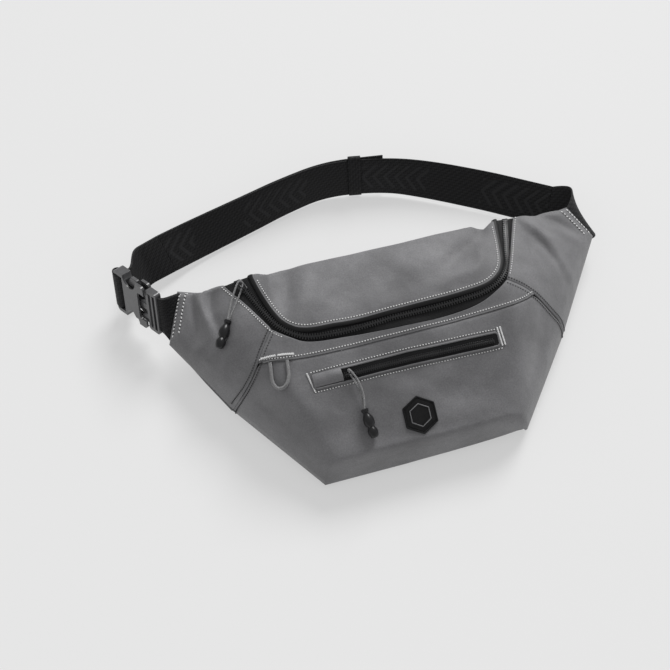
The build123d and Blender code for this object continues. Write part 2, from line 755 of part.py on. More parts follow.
LAYER_STEP = WEBBING_THICKNESS + 0.2
with BuildPart() as strap_return:
    returning = [ring_plane(station, LAYER_STEP) for station in RING[4:]]
    add(ribbon(returning, WEBBING, WEBBING_THICKNESS))
finish(strap_return, "strap_return")

wrap_radius = WEB_BAR_RADIUS + 0.2 + WEBBING_THICKNESS
wrap_plane = Plane(
    origin=buckle_frame.from_local_coords((BAR_CENTRE, -WEBBING / 2, 0)),
    x_dir=buckle_frame.x_dir,
    z_dir=buckle_frame.y_dir,
)
with BuildPart() as strap_wrap:
    with BuildSketch(wrap_plane):
        Circle(wrap_radius)
        Circle(wrap_radius - WEBBING_THICKNESS, mode=Mode.SUBTRACT)
    extrude(amount=WEBBING)
finish(strap_wrap, "strap_wrap")

wrap_exit = across_plane(
    buckle_frame.from_local_coords((BAR_CENTRE, 0, -wrap_radius - 0.1)),
    -buckle_frame.y_dir,
    buckle_frame.z_dir,
)
with BuildPart() as strap_end:
    planes = [ring_plane(station, LAYER_STEP / 2) for station in RING_LEFT]
    add(ribbon([*planes, wrap_exit], WEBBING, WEBBING_THICKNESS + LAYER_STEP))
finish(strap_end, "strap_end")

wing_end_middle = (
    (WING_TIP_LOW[0] + WING_TIP_HIGH[0]) / 2,
    (WING_TIP_LOW[1] + WING_TIP_HIGH[1]) / 2,
    38.0 - WING_THICKNESS / 2,
)
wing_end_across = (WING_TIP_HIGH[0] - WING_TIP_LOW[0], WING_TIP_HIGH[1] - WING_TIP_LOW[1], 8.0)
wing_end_out = (wing_end_across[1], -wing_end_across[0], 0)


def flat_end(centre, width_way, face_way):
    """A webbing's end section that lies flat against an upright face."""
    across = Vector(*width_way).cross(Vector(*face_way)).cross(Vector(*face_way)) * -1
    return Plane(origin=centre, x_dir=across, z_dir=face_way)


with BuildPart() as strap_anchor:
    stations = [
        flat_end(wing_end_middle, wing_end_across, wing_end_out),
        across_plane((203, 95, 36), (-0.30, 0.88, 0.37), (0.8, 0.5, -0.1)),
        across_plane((207, 100, 33), (-0.21, 0.90, 0.40), (-0.1, 0.3, -0.9)),
        across_plane((203, 103, 29), (-0.10, 0.85, 0.50), (-0.8, 0.4, -0.4)),
        ring_plane(RING[0]),
    ]
    add(ribbon(stations, WEBBING, WEBBING_THICKNESS))
finish(strap_anchor, "strap_anchor")

with BuildPart() as buckle_tab:
    stations = [
        flat_end(mirrored(wing_end_middle), mirrored(wing_end_across), mirrored(wing_end_out)),
        Plane(origin=buckle_frame.origin, x_dir=-buckle_frame.y_dir, z_dir=buckle_frame.x_dir),
    ]
    add(ribbon(stations, WEBBING, 2 * WEBBING_THICKNESS))
finish(buckle_tab, "buckle_tab")

keeper_start, keeper_end = ring_plane(RING[4], LAYER_STEP / 2), ring_plane(RING[5], LAYER_STEP / 2)
keeper_plane = Plane(
    origin=(keeper_start.origin + keeper_end.origin) / 2,
    x_dir=keeper_start.x_dir,
    z_dir=keeper_end.origin - keeper_start.origin,
)
inner_width = WEBBING + 2 * KEEPER_GAP
inner_depth = WEBBING_THICKNESS + LAYER_STEP + 2 * KEEPER_GAP
with BuildPart() as strap_keeper:
    with BuildSketch(keeper_plane.offset(-KEEPER_WIDTH / 2)):
        Rectangle(inner_width + 2 * KEEPER_WALL, inner_depth + 2 * KEEPER_WALL)
        Rectangle(inner_width, inner_depth, mode=Mode.SUBTRACT)
    extrude(amount=KEEPER_WIDTH)
finish(strap_keeper, "strap_keeper")
print("keeper middle", keeper_plane.origin, "along", keeper_plane.z_dir)
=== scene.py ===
import math

import bmesh
import bpy
import numpy as np
from mathutils import Matrix, Vector


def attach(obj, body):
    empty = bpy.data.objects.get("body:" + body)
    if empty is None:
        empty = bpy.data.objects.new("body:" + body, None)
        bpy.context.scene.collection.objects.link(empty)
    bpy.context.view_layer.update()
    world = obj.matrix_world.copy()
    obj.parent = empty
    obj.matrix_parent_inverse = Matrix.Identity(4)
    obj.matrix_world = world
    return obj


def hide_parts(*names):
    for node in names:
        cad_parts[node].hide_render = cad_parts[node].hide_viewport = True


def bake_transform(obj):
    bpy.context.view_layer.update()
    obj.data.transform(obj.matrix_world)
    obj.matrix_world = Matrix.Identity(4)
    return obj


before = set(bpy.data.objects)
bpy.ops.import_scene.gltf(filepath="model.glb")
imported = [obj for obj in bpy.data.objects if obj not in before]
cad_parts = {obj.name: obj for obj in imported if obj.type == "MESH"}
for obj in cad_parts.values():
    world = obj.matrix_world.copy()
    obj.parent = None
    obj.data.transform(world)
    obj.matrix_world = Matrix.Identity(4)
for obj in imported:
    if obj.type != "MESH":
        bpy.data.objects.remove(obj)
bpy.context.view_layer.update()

bl_info = {
    "name": "Waist Pack Builder",
    "version": (1, 0, 0),
    "blender": (4, 5, 0),
    "location": "View3D > Sidebar > Waist Pack",
    "description": "Builds a waist pack with a U zip lid, a zipped pocket and a webbing belt",
    "category": "Add Mesh",
}

MM = 0.001

# ------------------------------------------------------------------ the pack's outer form, in mm
CORNER_LEFT, CORNER_RIGHT = (-92, -90, 8), (94, -88, 10)
WING_LOW_LEFT, WING_HIGH_LEFT = (-195, 65, 28), (-177, 105, 48)
WING_LOW_RIGHT, WING_HIGH_RIGHT = (207, 72, 30), (187, 98, 48)
SHOULDER_LEFT, SHOULDER_RIGHT = (-98, 20, 86), (96, 20, 86)
SEAM_LEFT, SEAM_RIGHT = (-121, 8, 72), (119, 9, 72)
LEG_LEFT, LEG_RIGHT = (-130, 88, 68), (128, 88, 66)
OUTLINE = [
    (-92, -90, 6), (87, -88.4, 7), (93.2, -86, 7), (97, -81.2, 7.3), (152, -10, 11),
    WING_LOW_RIGHT, WING_HIGH_RIGHT, (142, 97, 38), (134, 96, 26),
    (-134, 96, 26), (-142, 98, 38), WING_HIGH_LEFT, WING_LOW_LEFT, (-154, -4, 11),
]
ROUNDING = 5.0
EDGE_RADIUS = 9.0
# how far the top edge stands out past the lid's, along x
TOP_X = [
    -190, -171, -156, -146, -132, -118, -110, -98, -86, -27, 25, 88, 99, 112, 129, 147, 169, 190,
]
TOP_OUT = [12, 12, 7, 10, 8, 10, 7, -1, 1, 0, 0, 1, -3, 5, 6, 5, 9, 8]

OUTER_EDGE = [
    (-138, 91), (-131, 78.3), (-122, 62), (-114.2, 46.5), (-108, 33.8), (-100.5, 24.6),
    (-93.1, 18.4), (-84.9, 12.8), (-74.2, 10.2), (-61.5, 8.8), (-46.9, 8.0), (-34.9, 6.9),
    (2.7, 5.3), (40.9, 5.2), (71.1, 7.8), (93.1, 18.6), (103, 29), (110.6, 44.4), (117.4, 60.9),
    (128.3, 86.4), (131, 92),
]
LID_EDGE = [
    (-112.5, 92), (-110.5, 78), (-106.4, 60), (-102, 45), (-95.3, 32), (-87.9, 24.9), (-79.9, 22),
    (-71.5, 20.8), (-54.1, 20.3), (-43.9, 19.2), (-18.4, 19.3), (6.7, 20), (32.5, 20.2),
    (57.8, 20.9), (78.1, 22.6), (90, 27.2), (100, 36.5), (105, 53), (110, 83), (111.5, 92),
]
FRONT_SEAM = [
    (-124.5, 9.5), (-117, 6), (-98.7, 0.6), (-61.4, -0.9), (-23.6, -0.8), (14.1, -0.6), (52.4, 0.2),
    (91.3, 1.6), (104, 3.2), (115, 6.4), (123, 11),
]
DART_LEFT = [(-107, 31.5), (-119, 17.5), (-124.5, 9.5), (-132.5, 1.5), (-144, -4), (-154, -4)]
DART_RIGHT = [(101, 25), (114, 17.5), (123, 11), (134.5, 1.2), (146, -6.5), (152, -10)]
# folds and dents: centre x and y, half length, half width, turn in degrees, height
FOLDS = [
    (-159, 70, 20, 4.5, 98, 2.6), (-167, 80, 16, 4, 85, -2.4), (-150, 84, 15, 5, 75, -3.0),
    (-149, 55, 16, 6, 100, -2.0), (-172, 60, 16, 7, 60, -1.6), (-176, 44, 14, 5, 20, 1.4),
    (-139, 45, 24, 12, 40, 2.2), (-140, 16, 26, 9, 18, -1.5), (-150, 25, 18, 5, 55, 1.2),
    (-86, 62, 24, 8, 75, -2.6), (-74, 56, 24, 7, 62, 2.2), (-98, 80, 14, 5, 80, 1.6),
    (-56, 60, 30, 12, 55, 1.6), (-20, 52, 34, 14, 30, -1.4), (25, 58, 40, 15, -20, 1.5),
    (70, 60, 26, 8, 35, -2.2), (86, 52, 20, 6, 60, 1.8), (60, 36, 22, 6, 10, 1.0),
    (95, 78, 12, 6, 80, -2.2), (146, 74, 24, 7, -50, 2.6), (150, 54, 24, 5, -60, -2.6),
    (160, 42, 22, 6, -62, 1.8), (138, 56, 20, 5, -75, -2.0), (158, 88, 16, 5, -30, -2.2),
    (178, 78, 12, 5, -35, -1.6), (-95, -34, 34, 12, -50, 1.6), (-60, -60, 30, 12, 10, -1.6),
    (-20, -48, 40, 16, 5, 1.2), (45, -56, 34, 13, -12, -1.6), (96, -24, 26, 8, 55, 1.8),
    (112, -38, 28, 7, 62, -2.2), (88, -62, 22, 9, 35, 1.4), (20, -78, 50, 6, -3, -1.2),
    (-30, 12, 40, 5, -8, 0.8), (60, 4, 30, 4, 6, -0.8),
]


def plane_through(a, b, c):
    """A plane as the numbers of z = a x + b y + c."""
    a, b, c = Vector(a), Vector(b), Vector(c)
    n = (b - a).cross(c - a)
    return (-n.x / n.z, -n.y / n.z, a.z + (n.x * a.x + n.y * a.y) / n.z)


def raised(point, rise):
    return (point[0], point[1], point[2] + rise)


FACETS = [
    plane_through((-50, -40, 57.5), (50, -40, 57.5), (0, 22, 86)),
    plane_through((-50, -90, 16), (50, -90, 16), (0, -84, 48)),
    plane_through((-50, 22, 88.5), (50, 22, 88.5), (0, 84, 79)),
    plane_through(raised(CORNER_LEFT, 10), raised(WING_LOW_LEFT, 9), raised(SEAM_LEFT, 6)),
    plane_through(raised(CORNER_RIGHT, 10), raised(WING_LOW_RIGHT, 9), raised(SEAM_RIGHT, 6)),
    plane_through(raised(SHOULDER_LEFT, 2), raised(WING_LOW_LEFT, 3), raised(WING_HIGH_LEFT, 3)),
    plane_through(raised(SHOULDER_RIGHT, 2), raised(WING_LOW_RIGHT, 3), raised(WING_HIGH_RIGHT, 3)),
    plane_through(raised(SHOULDER_LEFT, 2), raised(LEG_LEFT, 3), raised(WING_HIGH_LEFT, 3)),
    plane_through(raised(SHOULDER_RIGHT, 2), raised(LEG_RIGHT, 3), raised(WING_HIGH_RIGHT, 3)),
]
WALL_FOOT_Y, WALL_SLOPE = 94.0, 8.5
FOLD_GAIN = 1.35
HINGE_Z = 30.0
# where the U zip ends, and where the lid's front corners meet the hinge line
ZIP_END_LEFT, ZIP_END_RIGHT = (-138.5, 95.8), (132, 95.8)
TURN_LEFT, TURN_RIGHT = -112.8, 111.8
WEBBING_HALF = 19.0
SEAM_DEPTH, SEAM_REACH = 0.7, 1.3


def distance_to(x, y, points):
    """Distance in plan from each x, y to a run of points."""
    best = np.full(np.shape(x), 1e9)
    for (ax, ay), (bx, by) in zip(points, points[1:]):
        dx, dy = bx - ax, by - ay
        t = np.clip(((x - ax) * dx + (y - ay) * dy) / (dx * dx + dy * dy), 0, 1)
        best = np.minimum(best, np.hypot(x - ax - t * dx, y - ay - t * dy))
    return best


def rim(x, y):
    """Distance in plan to the outline, and the outline's height there."""
    best, level = np.full(np.shape(x), 1e9), np.zeros(np.shape(x))
    for a, b in zip(OUTLINE, OUTLINE[1:] + OUTLINE[:1]):
        dx, dy = b[0] - a[0], b[1] - a[1]
        t = np.clip(((x - a[0]) * dx + (y - a[1]) * dy) / (dx * dx + dy * dy), 0, 1)
        gap = np.hypot(x - a[0] - t * dx, y - a[1] - t * dy)
        nearer = gap < best
        best, level = np.where(nearer, gap, best), np.where(nearer, a[2] + t * (b[2] - a[2]), level)
    return best, level


def height(x, y):
    """Height of the pack's fabric over the plan, in mm."""
    x, y = np.asarray(x, float), np.asarray(y, float)
    total = sum(np.exp(-(a * x + b * y + c) / ROUNDING) for a, b, c in FACETS)
    wall = (WALL_FOOT_Y + np.interp(x, TOP_X, TOP_OUT) - y) * WALL_SLOPE
    total = total + np.exp(-np.clip(wall, -120, 900) / ROUNDING)
    z = 2.5 - ROUNDING * np.log(total)
    for cx, cy, long, wide, turn, tall in FOLDS:
        c, s = math.cos(math.radians(turn)), math.sin(math.radians(turn))
        along, across = (x - cx) * c + (y - cy) * s, (y - cy) * c - (x - cx) * s
        z = z + FOLD_GAIN * tall * np.exp(-(along / long) ** 2 - (across / wide) ** 2)
    ripple = np.sin(x * 0.11 + 1.7 * np.sin(y * 0.07)) * np.sin(y * 0.13 + 1.3 * np.sin(x * 0.05))
    z = z + 0.35 * ripple
    for seam in (DART_LEFT, DART_RIGHT):
        z = z - SEAM_DEPTH * np.exp(-(distance_to(x, y, seam) / SEAM_REACH) ** 2)
    gap, level = rim(x, y)
    rise = np.sqrt(1 - (1 - np.clip(gap / EDGE_RADIUS, 0, 1)) ** 2)
    return level + (np.maximum(z, level) - level) * rise


def on_fabric(x, y, lift=0.0):
    """A point on the fabric, raised along its normal."""
    step = 0.6
    z = float(height(x, y))
    slope_x = (float(height(x + step, y)) - float(height(x - step, y))) / (2 * step)
    slope_y = (float(height(x, y + step)) - float(height(x, y - step))) / (2 * step)
    normal = Vector((-slope_x, -slope_y, 1)).normalized()
    return Vector((x, y, z)) + normal * lift, normal


# ------------------------------------------------------------------ helpers for curves and cloth
def rounded(points, rounds=3):
    """A run of points with its corners cut, its ends kept."""
    line = np.array(points, float)
    for _ in range(rounds):
        a, b = line[:-1], line[1:]
        cut = np.empty((2 * len(a), line.shape[1]))
        cut[0::2], cut[1::2] = 0.75 * a + 0.25 * b, 0.25 * a + 0.75 * b
        line = np.vstack([line[:1], cut[1:-1], line[-1:]])
    return line


def spaced(points, count):
    """Points at even distances along a run."""
    line = np.asarray(points, float)
    reach = np.concatenate([[0], np.cumsum(np.linalg.norm(np.diff(line, axis=0), axis=1))])
    wanted = np.linspace(0, reach[-1], count)
    return np.stack([np.interp(wanted, reach, line[:, k]) for k in range(line.shape[1])], axis=1)


def patch(lower, upper, left, right, across, up):
    """Plan or space points filling the area between four edges."""
    low, high = spaced(rounded(lower), across), spaced(rounded(upper), across)
    start, end = spaced(rounded(left), up), spaced(rounded(right), up)
    u = np.linspace(0, 1, across)[:, None, None]
    v = np.linspace(0, 1, up)[None, :, None]
    up_down = (1 - v) * low[:, None, :] + v * high[:, None, :]
    side_side = (1 - u) * start[None, :, :] + u * end[None, :, :]
    corner = (1 - u) * (1 - v) * low[0] + u * (1 - v) * low[-1]
    corner = corner + (1 - u) * v * high[0] + u * v * high[-1]
    return up_down + side_side - corner


def draped(plan, count, lift=None):
    """Lays plan points on the fabric and spaces each column evenly over its height and hollows."""
    x, y = plan[..., 0], plan[..., 1]
    z = height(x, y)
    out = np.zeros((plan.shape[0], count, 3))
    for i in range(plan.shape[0]):
        column = np.stack([x[i], y[i], z[i]], axis=1)
        out[i] = spaced(column, count)
    if lift is not None:
        out[..., 2] += lift(np.linspace(0, 1, plan.shape[0])[:, None], np.linspace(0, 1, count)[None, :])
    return out


def grid_mesh(points):
    """A bmesh grid through an array of points in mm, with its weave laid out in metres."""
    across, up = points.shape[:2]
    bm = bmesh.new()
    bmesh.ops.create_grid(bm, x_segments=across - 1, y_segments=up - 1, size=1.0)
    rows = np.linalg.norm(np.diff(points, axis=0), axis=2).mean(axis=1)
    columns = np.linalg.norm(np.diff(points, axis=1), axis=2)
    over = np.concatenate([[0], np.cumsum(rows)])
    rise = np.concatenate([np.zeros((across, 1)), np.cumsum(columns, axis=1)], axis=1)
    weave = bm.loops.layers.uv.new("Weave")
    place = {}
    for vert in bm.verts:
        i = round((vert.co.x + 1) / 2 * (across - 1))
        j = round((vert.co.y + 1) / 2 * (up - 1))
        place[vert] = (i, j)
    for face in bm.faces:
        for loop in face.loops:
            i, j = place[loop.vert]
            loop[weave].uv = (over[i] * MM, rise[i, j] * MM)
    for vert, (i, j) in place.items():
        vert.co = Vector(points[i, j])
    return bm


def face_back(bm):
    """Turns the faces of an upright sheet towards the wearer's back, +y."""
    bm.normal_update()
    if sum(f.normal.y for f in bm.faces) < 0:
        bmesh.ops.reverse_faces(bm, faces=bm.faces[:])


def face_up(bm):
    """Turns every face over where most look down."""
    bm.normal_update()
    if sum(f.normal.z * f.calc_area() for f in bm.faces) < 0:
        bmesh.ops.reverse_faces(bm, faces=bm.faces[:])


def add_piece(name, bm, body, material, stands_for=(), smooth=True):
    """Turns a bmesh in mm into a finished piece riding on a body."""
    bmesh.ops.scale(bm, vec=(MM, MM, MM), verts=bm.verts[:])
    mesh = bpy.data.meshes.new(name)
    bm.to_mesh(mesh)
    bm.free()
    for polygon in mesh.polygons:
        polygon.use_smooth = smooth
    piece = bpy.data.objects.new(name, mesh)
    bpy.context.scene.collection.objects.link(piece)
    mesh.materials.append(material)
    if body is not None:
        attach(piece, body)
    if stands_for:
        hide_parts(*stands_for)
    return piece


def thicken(piece, thickness, offset=-1.0, rim_bevel=0.0):
    wall = piece.modifiers.new("Cloth thickness", "SOLIDIFY")
    wall.thickness = thickness * MM
    wall.offset = offset
    wall.use_even_offset = True
    if rim_bevel:
        soften(piece, rim_bevel, 2, 50)
    return piece


def soften(piece, width, segments=2, angle=35):
    edge = piece.modifiers.new("Soft edges", "BEVEL")
    edge.width = width * MM
    edge.segments = segments
    edge.limit_method = "ANGLE"
    edge.angle_limit = math.radians(angle)
    edge.harden_normals = False
    return piece


def tube(points, radius, sides=10, flatten=1.0, normals=None):
    """A closed tube along points in mm, as a bmesh; normals set which way its flat sides look."""
    line = [Vector(p) for p in points]
    bm = bmesh.new()
    weave = bm.loops.layers.uv.new("Weave")
    rings = []
    side = None
    reach = [0.0]
    for a, b in zip(line, line[1:]):
        reach.append(reach[-1] + (b - a).length)
    for i, centre in enumerate(line):
        heading = (line[min(i + 1, len(line) - 1)] - line[max(i - 1, 0)]).normalized()
        if normals is not None:
            top = Vector(normals[i])
            side = heading.cross(top).normalized()
        elif side is None:
            side = heading.orthogonal().normalized()
        else:
            side = (side - heading * side.dot(heading)).normalized()
        top = side.cross(heading)
        basis = Matrix((side, top, heading)).transposed().to_4x4()
        place = Matrix.Translation(centre) @ basis
        ring = bmesh.ops.create_circle(bm, segments=sides, radius=radius, matrix=place)
        if flatten != 1.0:
            for vert in ring["verts"]:
                offset = vert.co - centre
                vert.co -= top * offset.dot(top) * (1 - flatten)
        rings.append(ring["verts"])
    for first, second in zip(rings, rings[1:]):
        edges = [e for e in {e for v in first + second for e in v.link_edges}
                 if all(v in first for v in e.verts) or all(v in second for v in e.verts)]
        bmesh.ops.bridge_loops(bm, edges=edges)
    for ring in (rings[0], rings[-1]):
        bmesh.ops.contextual_create(bm, geom=ring)
    bmesh.ops.recalc_face_normals(bm, faces=bm.faces[:])
    ring_of = {v: (i, k) for i, ring in enumerate(rings) for k, v in enumerate(ring)}
    for face in bm.faces:
        turns = [ring_of[v][1] for v in face.verts]
        wraps = max(turns) - min(turns) > sides / 2
        for loop in face.loops:
            i, k = ring_of[loop.vert]
            turn = k + sides if wraps and k == 0 else k
            loop[weave].uv = (turn / sides * 2 * math.pi * radius * MM, reach[i] * MM)
    return bm


def merge(target, source):
    """Adds the faces of one bmesh to another."""
    mesh = bpy.data.meshes.new("hold")
    source.to_mesh(mesh)
    source.free()
    target.from_mesh(mesh)
    bpy.data.meshes.remove(mesh)


def strand(bm, middle, along, across, up):
    """One short thread: a drawn-out ball with its poles along it."""
    basis = Matrix((along, across, up)).transposed().to_4x4()
    place = Matrix.Translation(middle) @ basis @ Matrix.Rotation(math.pi / 2, 4, "Y")
    bmesh.ops.create_uvsphere(bm, u_segments=6, v_segments=5, radius=1.0, matrix=place)


def stitches(bm, path, pitch, length, width, lift=0.15, lean=0.0, holes_and_shade=None):
    """A row of thread stitches along a plan path on the fabric, with dark dots of painted needle-hole shadow
    between them.
    """
    fine = spaced(rounded(path), 400)
    heights = height(fine[:, 0], fine[:, 1])
    run = np.column_stack([fine, heights])
    reach = np.linalg.norm(np.diff(run, axis=0), axis=1).sum()
    count = max(2, int(reach / pitch))
    spots = spaced(run, count * 2 + 1)
    for k in range(1, len(spots) - 1):
        is_hole_shade = k % 2 == 0
        if is_hole_shade and holes_and_shade is None:
            continue
        middle, normal = on_fabric(spots[k][0], spots[k][1], lift)
        ahead = Vector(spots[k + 1] - spots[k - 1])
        ahead = (ahead - normal * ahead.dot(normal)).normalized()
        # painted shadow: this flattened dark ball, sunk into the cloth between two stitches, stands in for a
        # needle hole's shade
        if is_hole_shade:
            side = normal.cross(ahead)
            basis = Matrix((ahead * pitch * 0.26, side * width * 0.62, normal * 0.2)).transposed().to_4x4()
            bmesh.ops.create_uvsphere(holes_and_shade, u_segments=6, v_segments=4, radius=1.0,
                                      matrix=Matrix.Translation(middle - normal * 0.12) @ basis)
            continue
        if lean:
            ahead = Matrix.Rotation(lean, 3, normal) @ ahead
        side = normal.cross(ahead)
        strand(bm, middle, ahead * length / 2, side * width / 2, normal * width * 0.4)


STRAND_LEAN = 0.35


def thread_bar(bm, start, end, width, strands, lift):
    """A bartack: close strands laid across a short bar between two fabric points."""
    for k in range(strands):
        t = (k + 0.5) / strands
        x, y = start[0] + (end[0] - start[0]) * t, start[1] + (end[1] - start[1]) * t
        middle, normal = on_fabric(x, y, lift)
        ahead = Vector((end[0] - start[0], end[1] - start[1], 0))
        ahead = (ahead - normal * ahead.dot(normal)).normalized()
        side = Matrix.Rotation(STRAND_LEAN if k % 2 else -STRAND_LEAN, 3, normal) @ normal.cross(ahead)
        along = normal.cross(side)
        reach = math.hypot(end[0] - start[0], end[1] - start[1]) / strands
        strand(bm, middle, side * width / 2, along * reach * 0.75, normal * 0.35)


def shifted(path, distance):
    """A plan path moved sideways, to the left of its heading where distance is positive."""
    line = spaced(rounded(path), 60)
    heading = np.gradient(line, axis=0)
    heading /= np.linalg.norm(heading, axis=1)[:, None]
    return line + np.column_stack([-heading[:, 1], heading[:, 0]]) * distance


# ------------------------------------------------------------------ finishes
class Finish:
    """A material and the short ways to add its nodes."""

    def __init__(self, name, roughness, sheen=0.0, specular=0.5, coat=0.0):
        self.material = bpy.data.materials.new(name)
        self.material.use_nodes = True
        self.tree = self.material.node_tree
        self.shader = self.tree.nodes["Principled BSDF"]
        self.shader.inputs["Roughness"].default_value = roughness
        self.shader.inputs["Specular IOR Level"].default_value = specular
        self.shader.inputs["Sheen Weight"].default_value = sheen
        self.shader.inputs["Sheen Roughness"].default_value = 0.6
        self.shader.inputs["Coat Weight"].default_value = coat

    def node(self, kind):
        return self.tree.nodes.new(kind)

    def link(self, start, end):
        self.tree.links.new(start, end)

    def place(self, turn=0.0, woven=False):
        """Coordinates on the piece, in metres, or along its weave."""
        source = self.node("ShaderNodeTexCoord")
        mapping = self.node("ShaderNodeMapping")
        mapping.inputs["Rotation"].default_value = (0, 0, turn)
        self.link(source.outputs["UV" if woven else "Object"], mapping.inputs["Vector"])
        return mapping.outputs["Vector"]

    def speckle(self, scale, detail=3.0, woven=False, rough=0.55):
        grain = self.node("ShaderNodeTexNoise")
        grain.inputs["Scale"].default_value = scale
        grain.inputs["Detail"].default_value = detail
        grain.inputs["Roughness"].default_value = rough
        self.link(self.place(woven=woven), grain.inputs["Vector"])
        return grain.outputs["Fac"]

    def waves(self, scale, direction="X", distortion=0.0, woven=True, turn=0.0):
        wave = self.node("ShaderNodeTexWave")
        wave.wave_type, wave.bands_direction, wave.wave_profile = "BANDS", direction, "SIN"
        wave.inputs["Scale"].default_value = scale
        wave.inputs["Distortion"].default_value = distortion
        wave.inputs["Detail"].default_value = 1.0
        self.link(self.place(woven=woven, turn=turn), wave.inputs["Vector"])
        return wave.outputs["Fac"]

    def sum(self, first, second, how="ADD", weight=None):
        """Two values joined by a math node."""
        made = self.node("ShaderNodeMath")
        made.operation = how
        self.link(first, made.inputs[0])
        if isinstance(second, (int, float)):
            made.inputs[1].default_value = second
        else:
            self.link(second, made.inputs[1])
        if weight is not None:
            scaled = self.node("ShaderNodeMath")
            scaled.operation = "MULTIPLY"
            self.link(made.outputs[0], scaled.inputs[0])
            scaled.inputs[1].default_value = weight
            return scaled.outputs[0]
        return made.outputs[0]

    def ramp(self, value, stops):
        made = self.node("ShaderNodeValToRGB")
        ramp = made.color_ramp
        while len(ramp.elements) < len(stops):
            ramp.elements.new(0.5)
        for element, (at, colour) in zip(ramp.elements, stops):
            element.position = at
            element.color = (*colour, 1)
        self.link(value, made.inputs["Fac"])
        return made.outputs["Color"]

    def blend(self, value, first, second, how="MIX"):
        made = self.node("ShaderNodeMix")
        made.data_type, made.blend_type = "RGBA", how
        for socket, colour in ((made.inputs[6], first), (made.inputs[7], second)):
            if isinstance(colour, tuple):
                socket.default_value = (*colour, 1)
            else:
                self.link(colour, socket)
        if isinstance(value, (int, float)):
            made.inputs["Factor"].default_value = value
        else:
            self.link(value, made.inputs["Factor"])
        return made.outputs[2]

    def colour(self, socket):
        self.link(socket, self.shader.inputs["Base Color"])

    def roughness(self, value, low, high):
        made = self.node("ShaderNodeMapRange")
        made.inputs["To Min"].default_value = low
        made.inputs["To Max"].default_value = high
        self.link(value, made.inputs["Value"])
        self.link(made.outputs["Result"], self.shader.inputs["Roughness"])

    def bump(self, value, distance, strength=1.0, under=None):
        made = self.node("ShaderNodeBump")
        made.inputs["Distance"].default_value = distance
        made.inputs["Strength"].default_value = strength
        self.link(value, made.inputs["Height"])
        if under is not None:
            self.link(under, made.inputs["Normal"])
        self.link(made.outputs["Normal"], self.shader.inputs["Normal"])
        return made.outputs["Normal"]


def shades(colour, *factors):
    return [tuple(max(0.0, c * f) for c in colour) for f in factors]


def shell_finish(colour):
    """Coated canvas: a plain fine weave under a thin matte film, with a soft speckle."""
    f = Finish("Coated canvas", 0.6, sheen=0.15, specular=0.42)
    cloudy = f.speckle(17, 3)
    mottled = f.speckle(760, 3, rough=0.7)
    grain = f.speckle(1500, 2, rough=0.6)
    worn = f.speckle(60, 5, rough=0.6)
    low, mid, high = shades(colour, 0.78, 1.0, 1.2)
    base = f.ramp(cloudy, [(0.32, low), (0.5, mid), (0.68, high)])
    speck = f.ramp(mottled, [(0.32, (0.86, 0.86, 0.87)), (0.5, (1, 1, 1)), (0.7, (1.16, 1.16, 1.15))])
    dust = f.ramp(grain, [(0.3, (0.86, 0.86, 0.86)), (0.62, (1.12, 1.12, 1.12))])
    mixed = f.blend(1.0, base, speck, "MULTIPLY")
    f.colour(f.blend(0.8, mixed, dust, "MULTIPLY"))
    warp, weft = f.waves(780, "X"), f.waves(780, "Y")
    weave = f.sum(warp, weft, "MULTIPLY")
    first = f.bump(weave, 0.00012, 0.5)
    second = f.bump(mottled, 0.00035, 0.4, under=first)
    third = f.bump(worn, 0.0014, 0.25, under=second)
    f.bump(f.speckle(15, 3, rough=0.45), 0.011, 0.6, under=third)
    f.roughness(f.sum(worn, weave, weight=0.5), 0.46, 0.68)
    return f.material


def webbing_finish(colour, name="Belt webbing", figured=False):
    """Heavy webbing: close ribs across it, a herringbone along it and, if figured, tonal blocks."""
    f = Finish(name, 0.6, sheen=0.0, specular=0.2)
    picks = f.waves(175, "Y")
    ends = f.waves(120, "X", distortion=0.5)
    twill = f.waves(110, "DIAGONAL")
    yarn = f.sum(f.sum(picks, ends), twill, weight=0.34)
    fuzz = f.speckle(900, 3, rough=0.7)
    dark, mid, light = shades(colour, 0.6, 1.0, 1.5)
    base = f.ramp(yarn, [(0.25, dark), (0.5, mid), (0.85, light)])
    shade = f.ramp(fuzz, [(0.3, (0.7, 0.7, 0.7)), (0.7, (1.3, 1.3, 1.3))])
    mixed = f.blend(1.0, base, shade, "MULTIPLY")
    relief = yarn
    if figured:
        figure = figured_mask(f)
        mixed = f.blend(figure, mixed, tuple(c * 1.7 for c in colour))
        relief = f.sum(yarn, f.sum(figure, 0.8, "MULTIPLY"), "ADD")
    f.colour(mixed)
    first = f.bump(relief, 0.00035, 0.8)
    f.bump(fuzz, 0.0002, 0.4, under=first)
    f.roughness(fuzz, 0.45, 0.75)
    return f.material


def figured_mask(f):
    """Tonal blocks and chevrons along the webbing, in its middle: 1 in the figure, 0 in the ground."""
    split = f.node("ShaderNodeSeparateXYZ")
    source = f.node("ShaderNodeTexCoord")
    f.link(source.outputs["UV"], split.inputs[0])
    across, along = split.outputs["X"], split.outputs["Y"]
    middle = f.sum(across, WEBBING_HALF * MM, "SUBTRACT")
    size = f.node("ShaderNodeMath")
    size.operation = "ABSOLUTE"
    f.link(middle, size.inputs[0])
    inside = f.sum(size.outputs[0], 0.0125, "LESS_THAN")
    slant = f.sum(along, f.sum(size.outputs[0], 0.9, "MULTIPLY"), "ADD")
    step = f.sum(slant, 0.0105, "MODULO")
    bar = f.sum(step, 0.0036, "LESS_THAN")
    group = f.sum(f.sum(along, 0.118, "MODULO"), 0.066, "LESS_THAN")
    return f.sum(f.sum(bar, group, "MULTIPLY"), inside, "MULTIPLY")


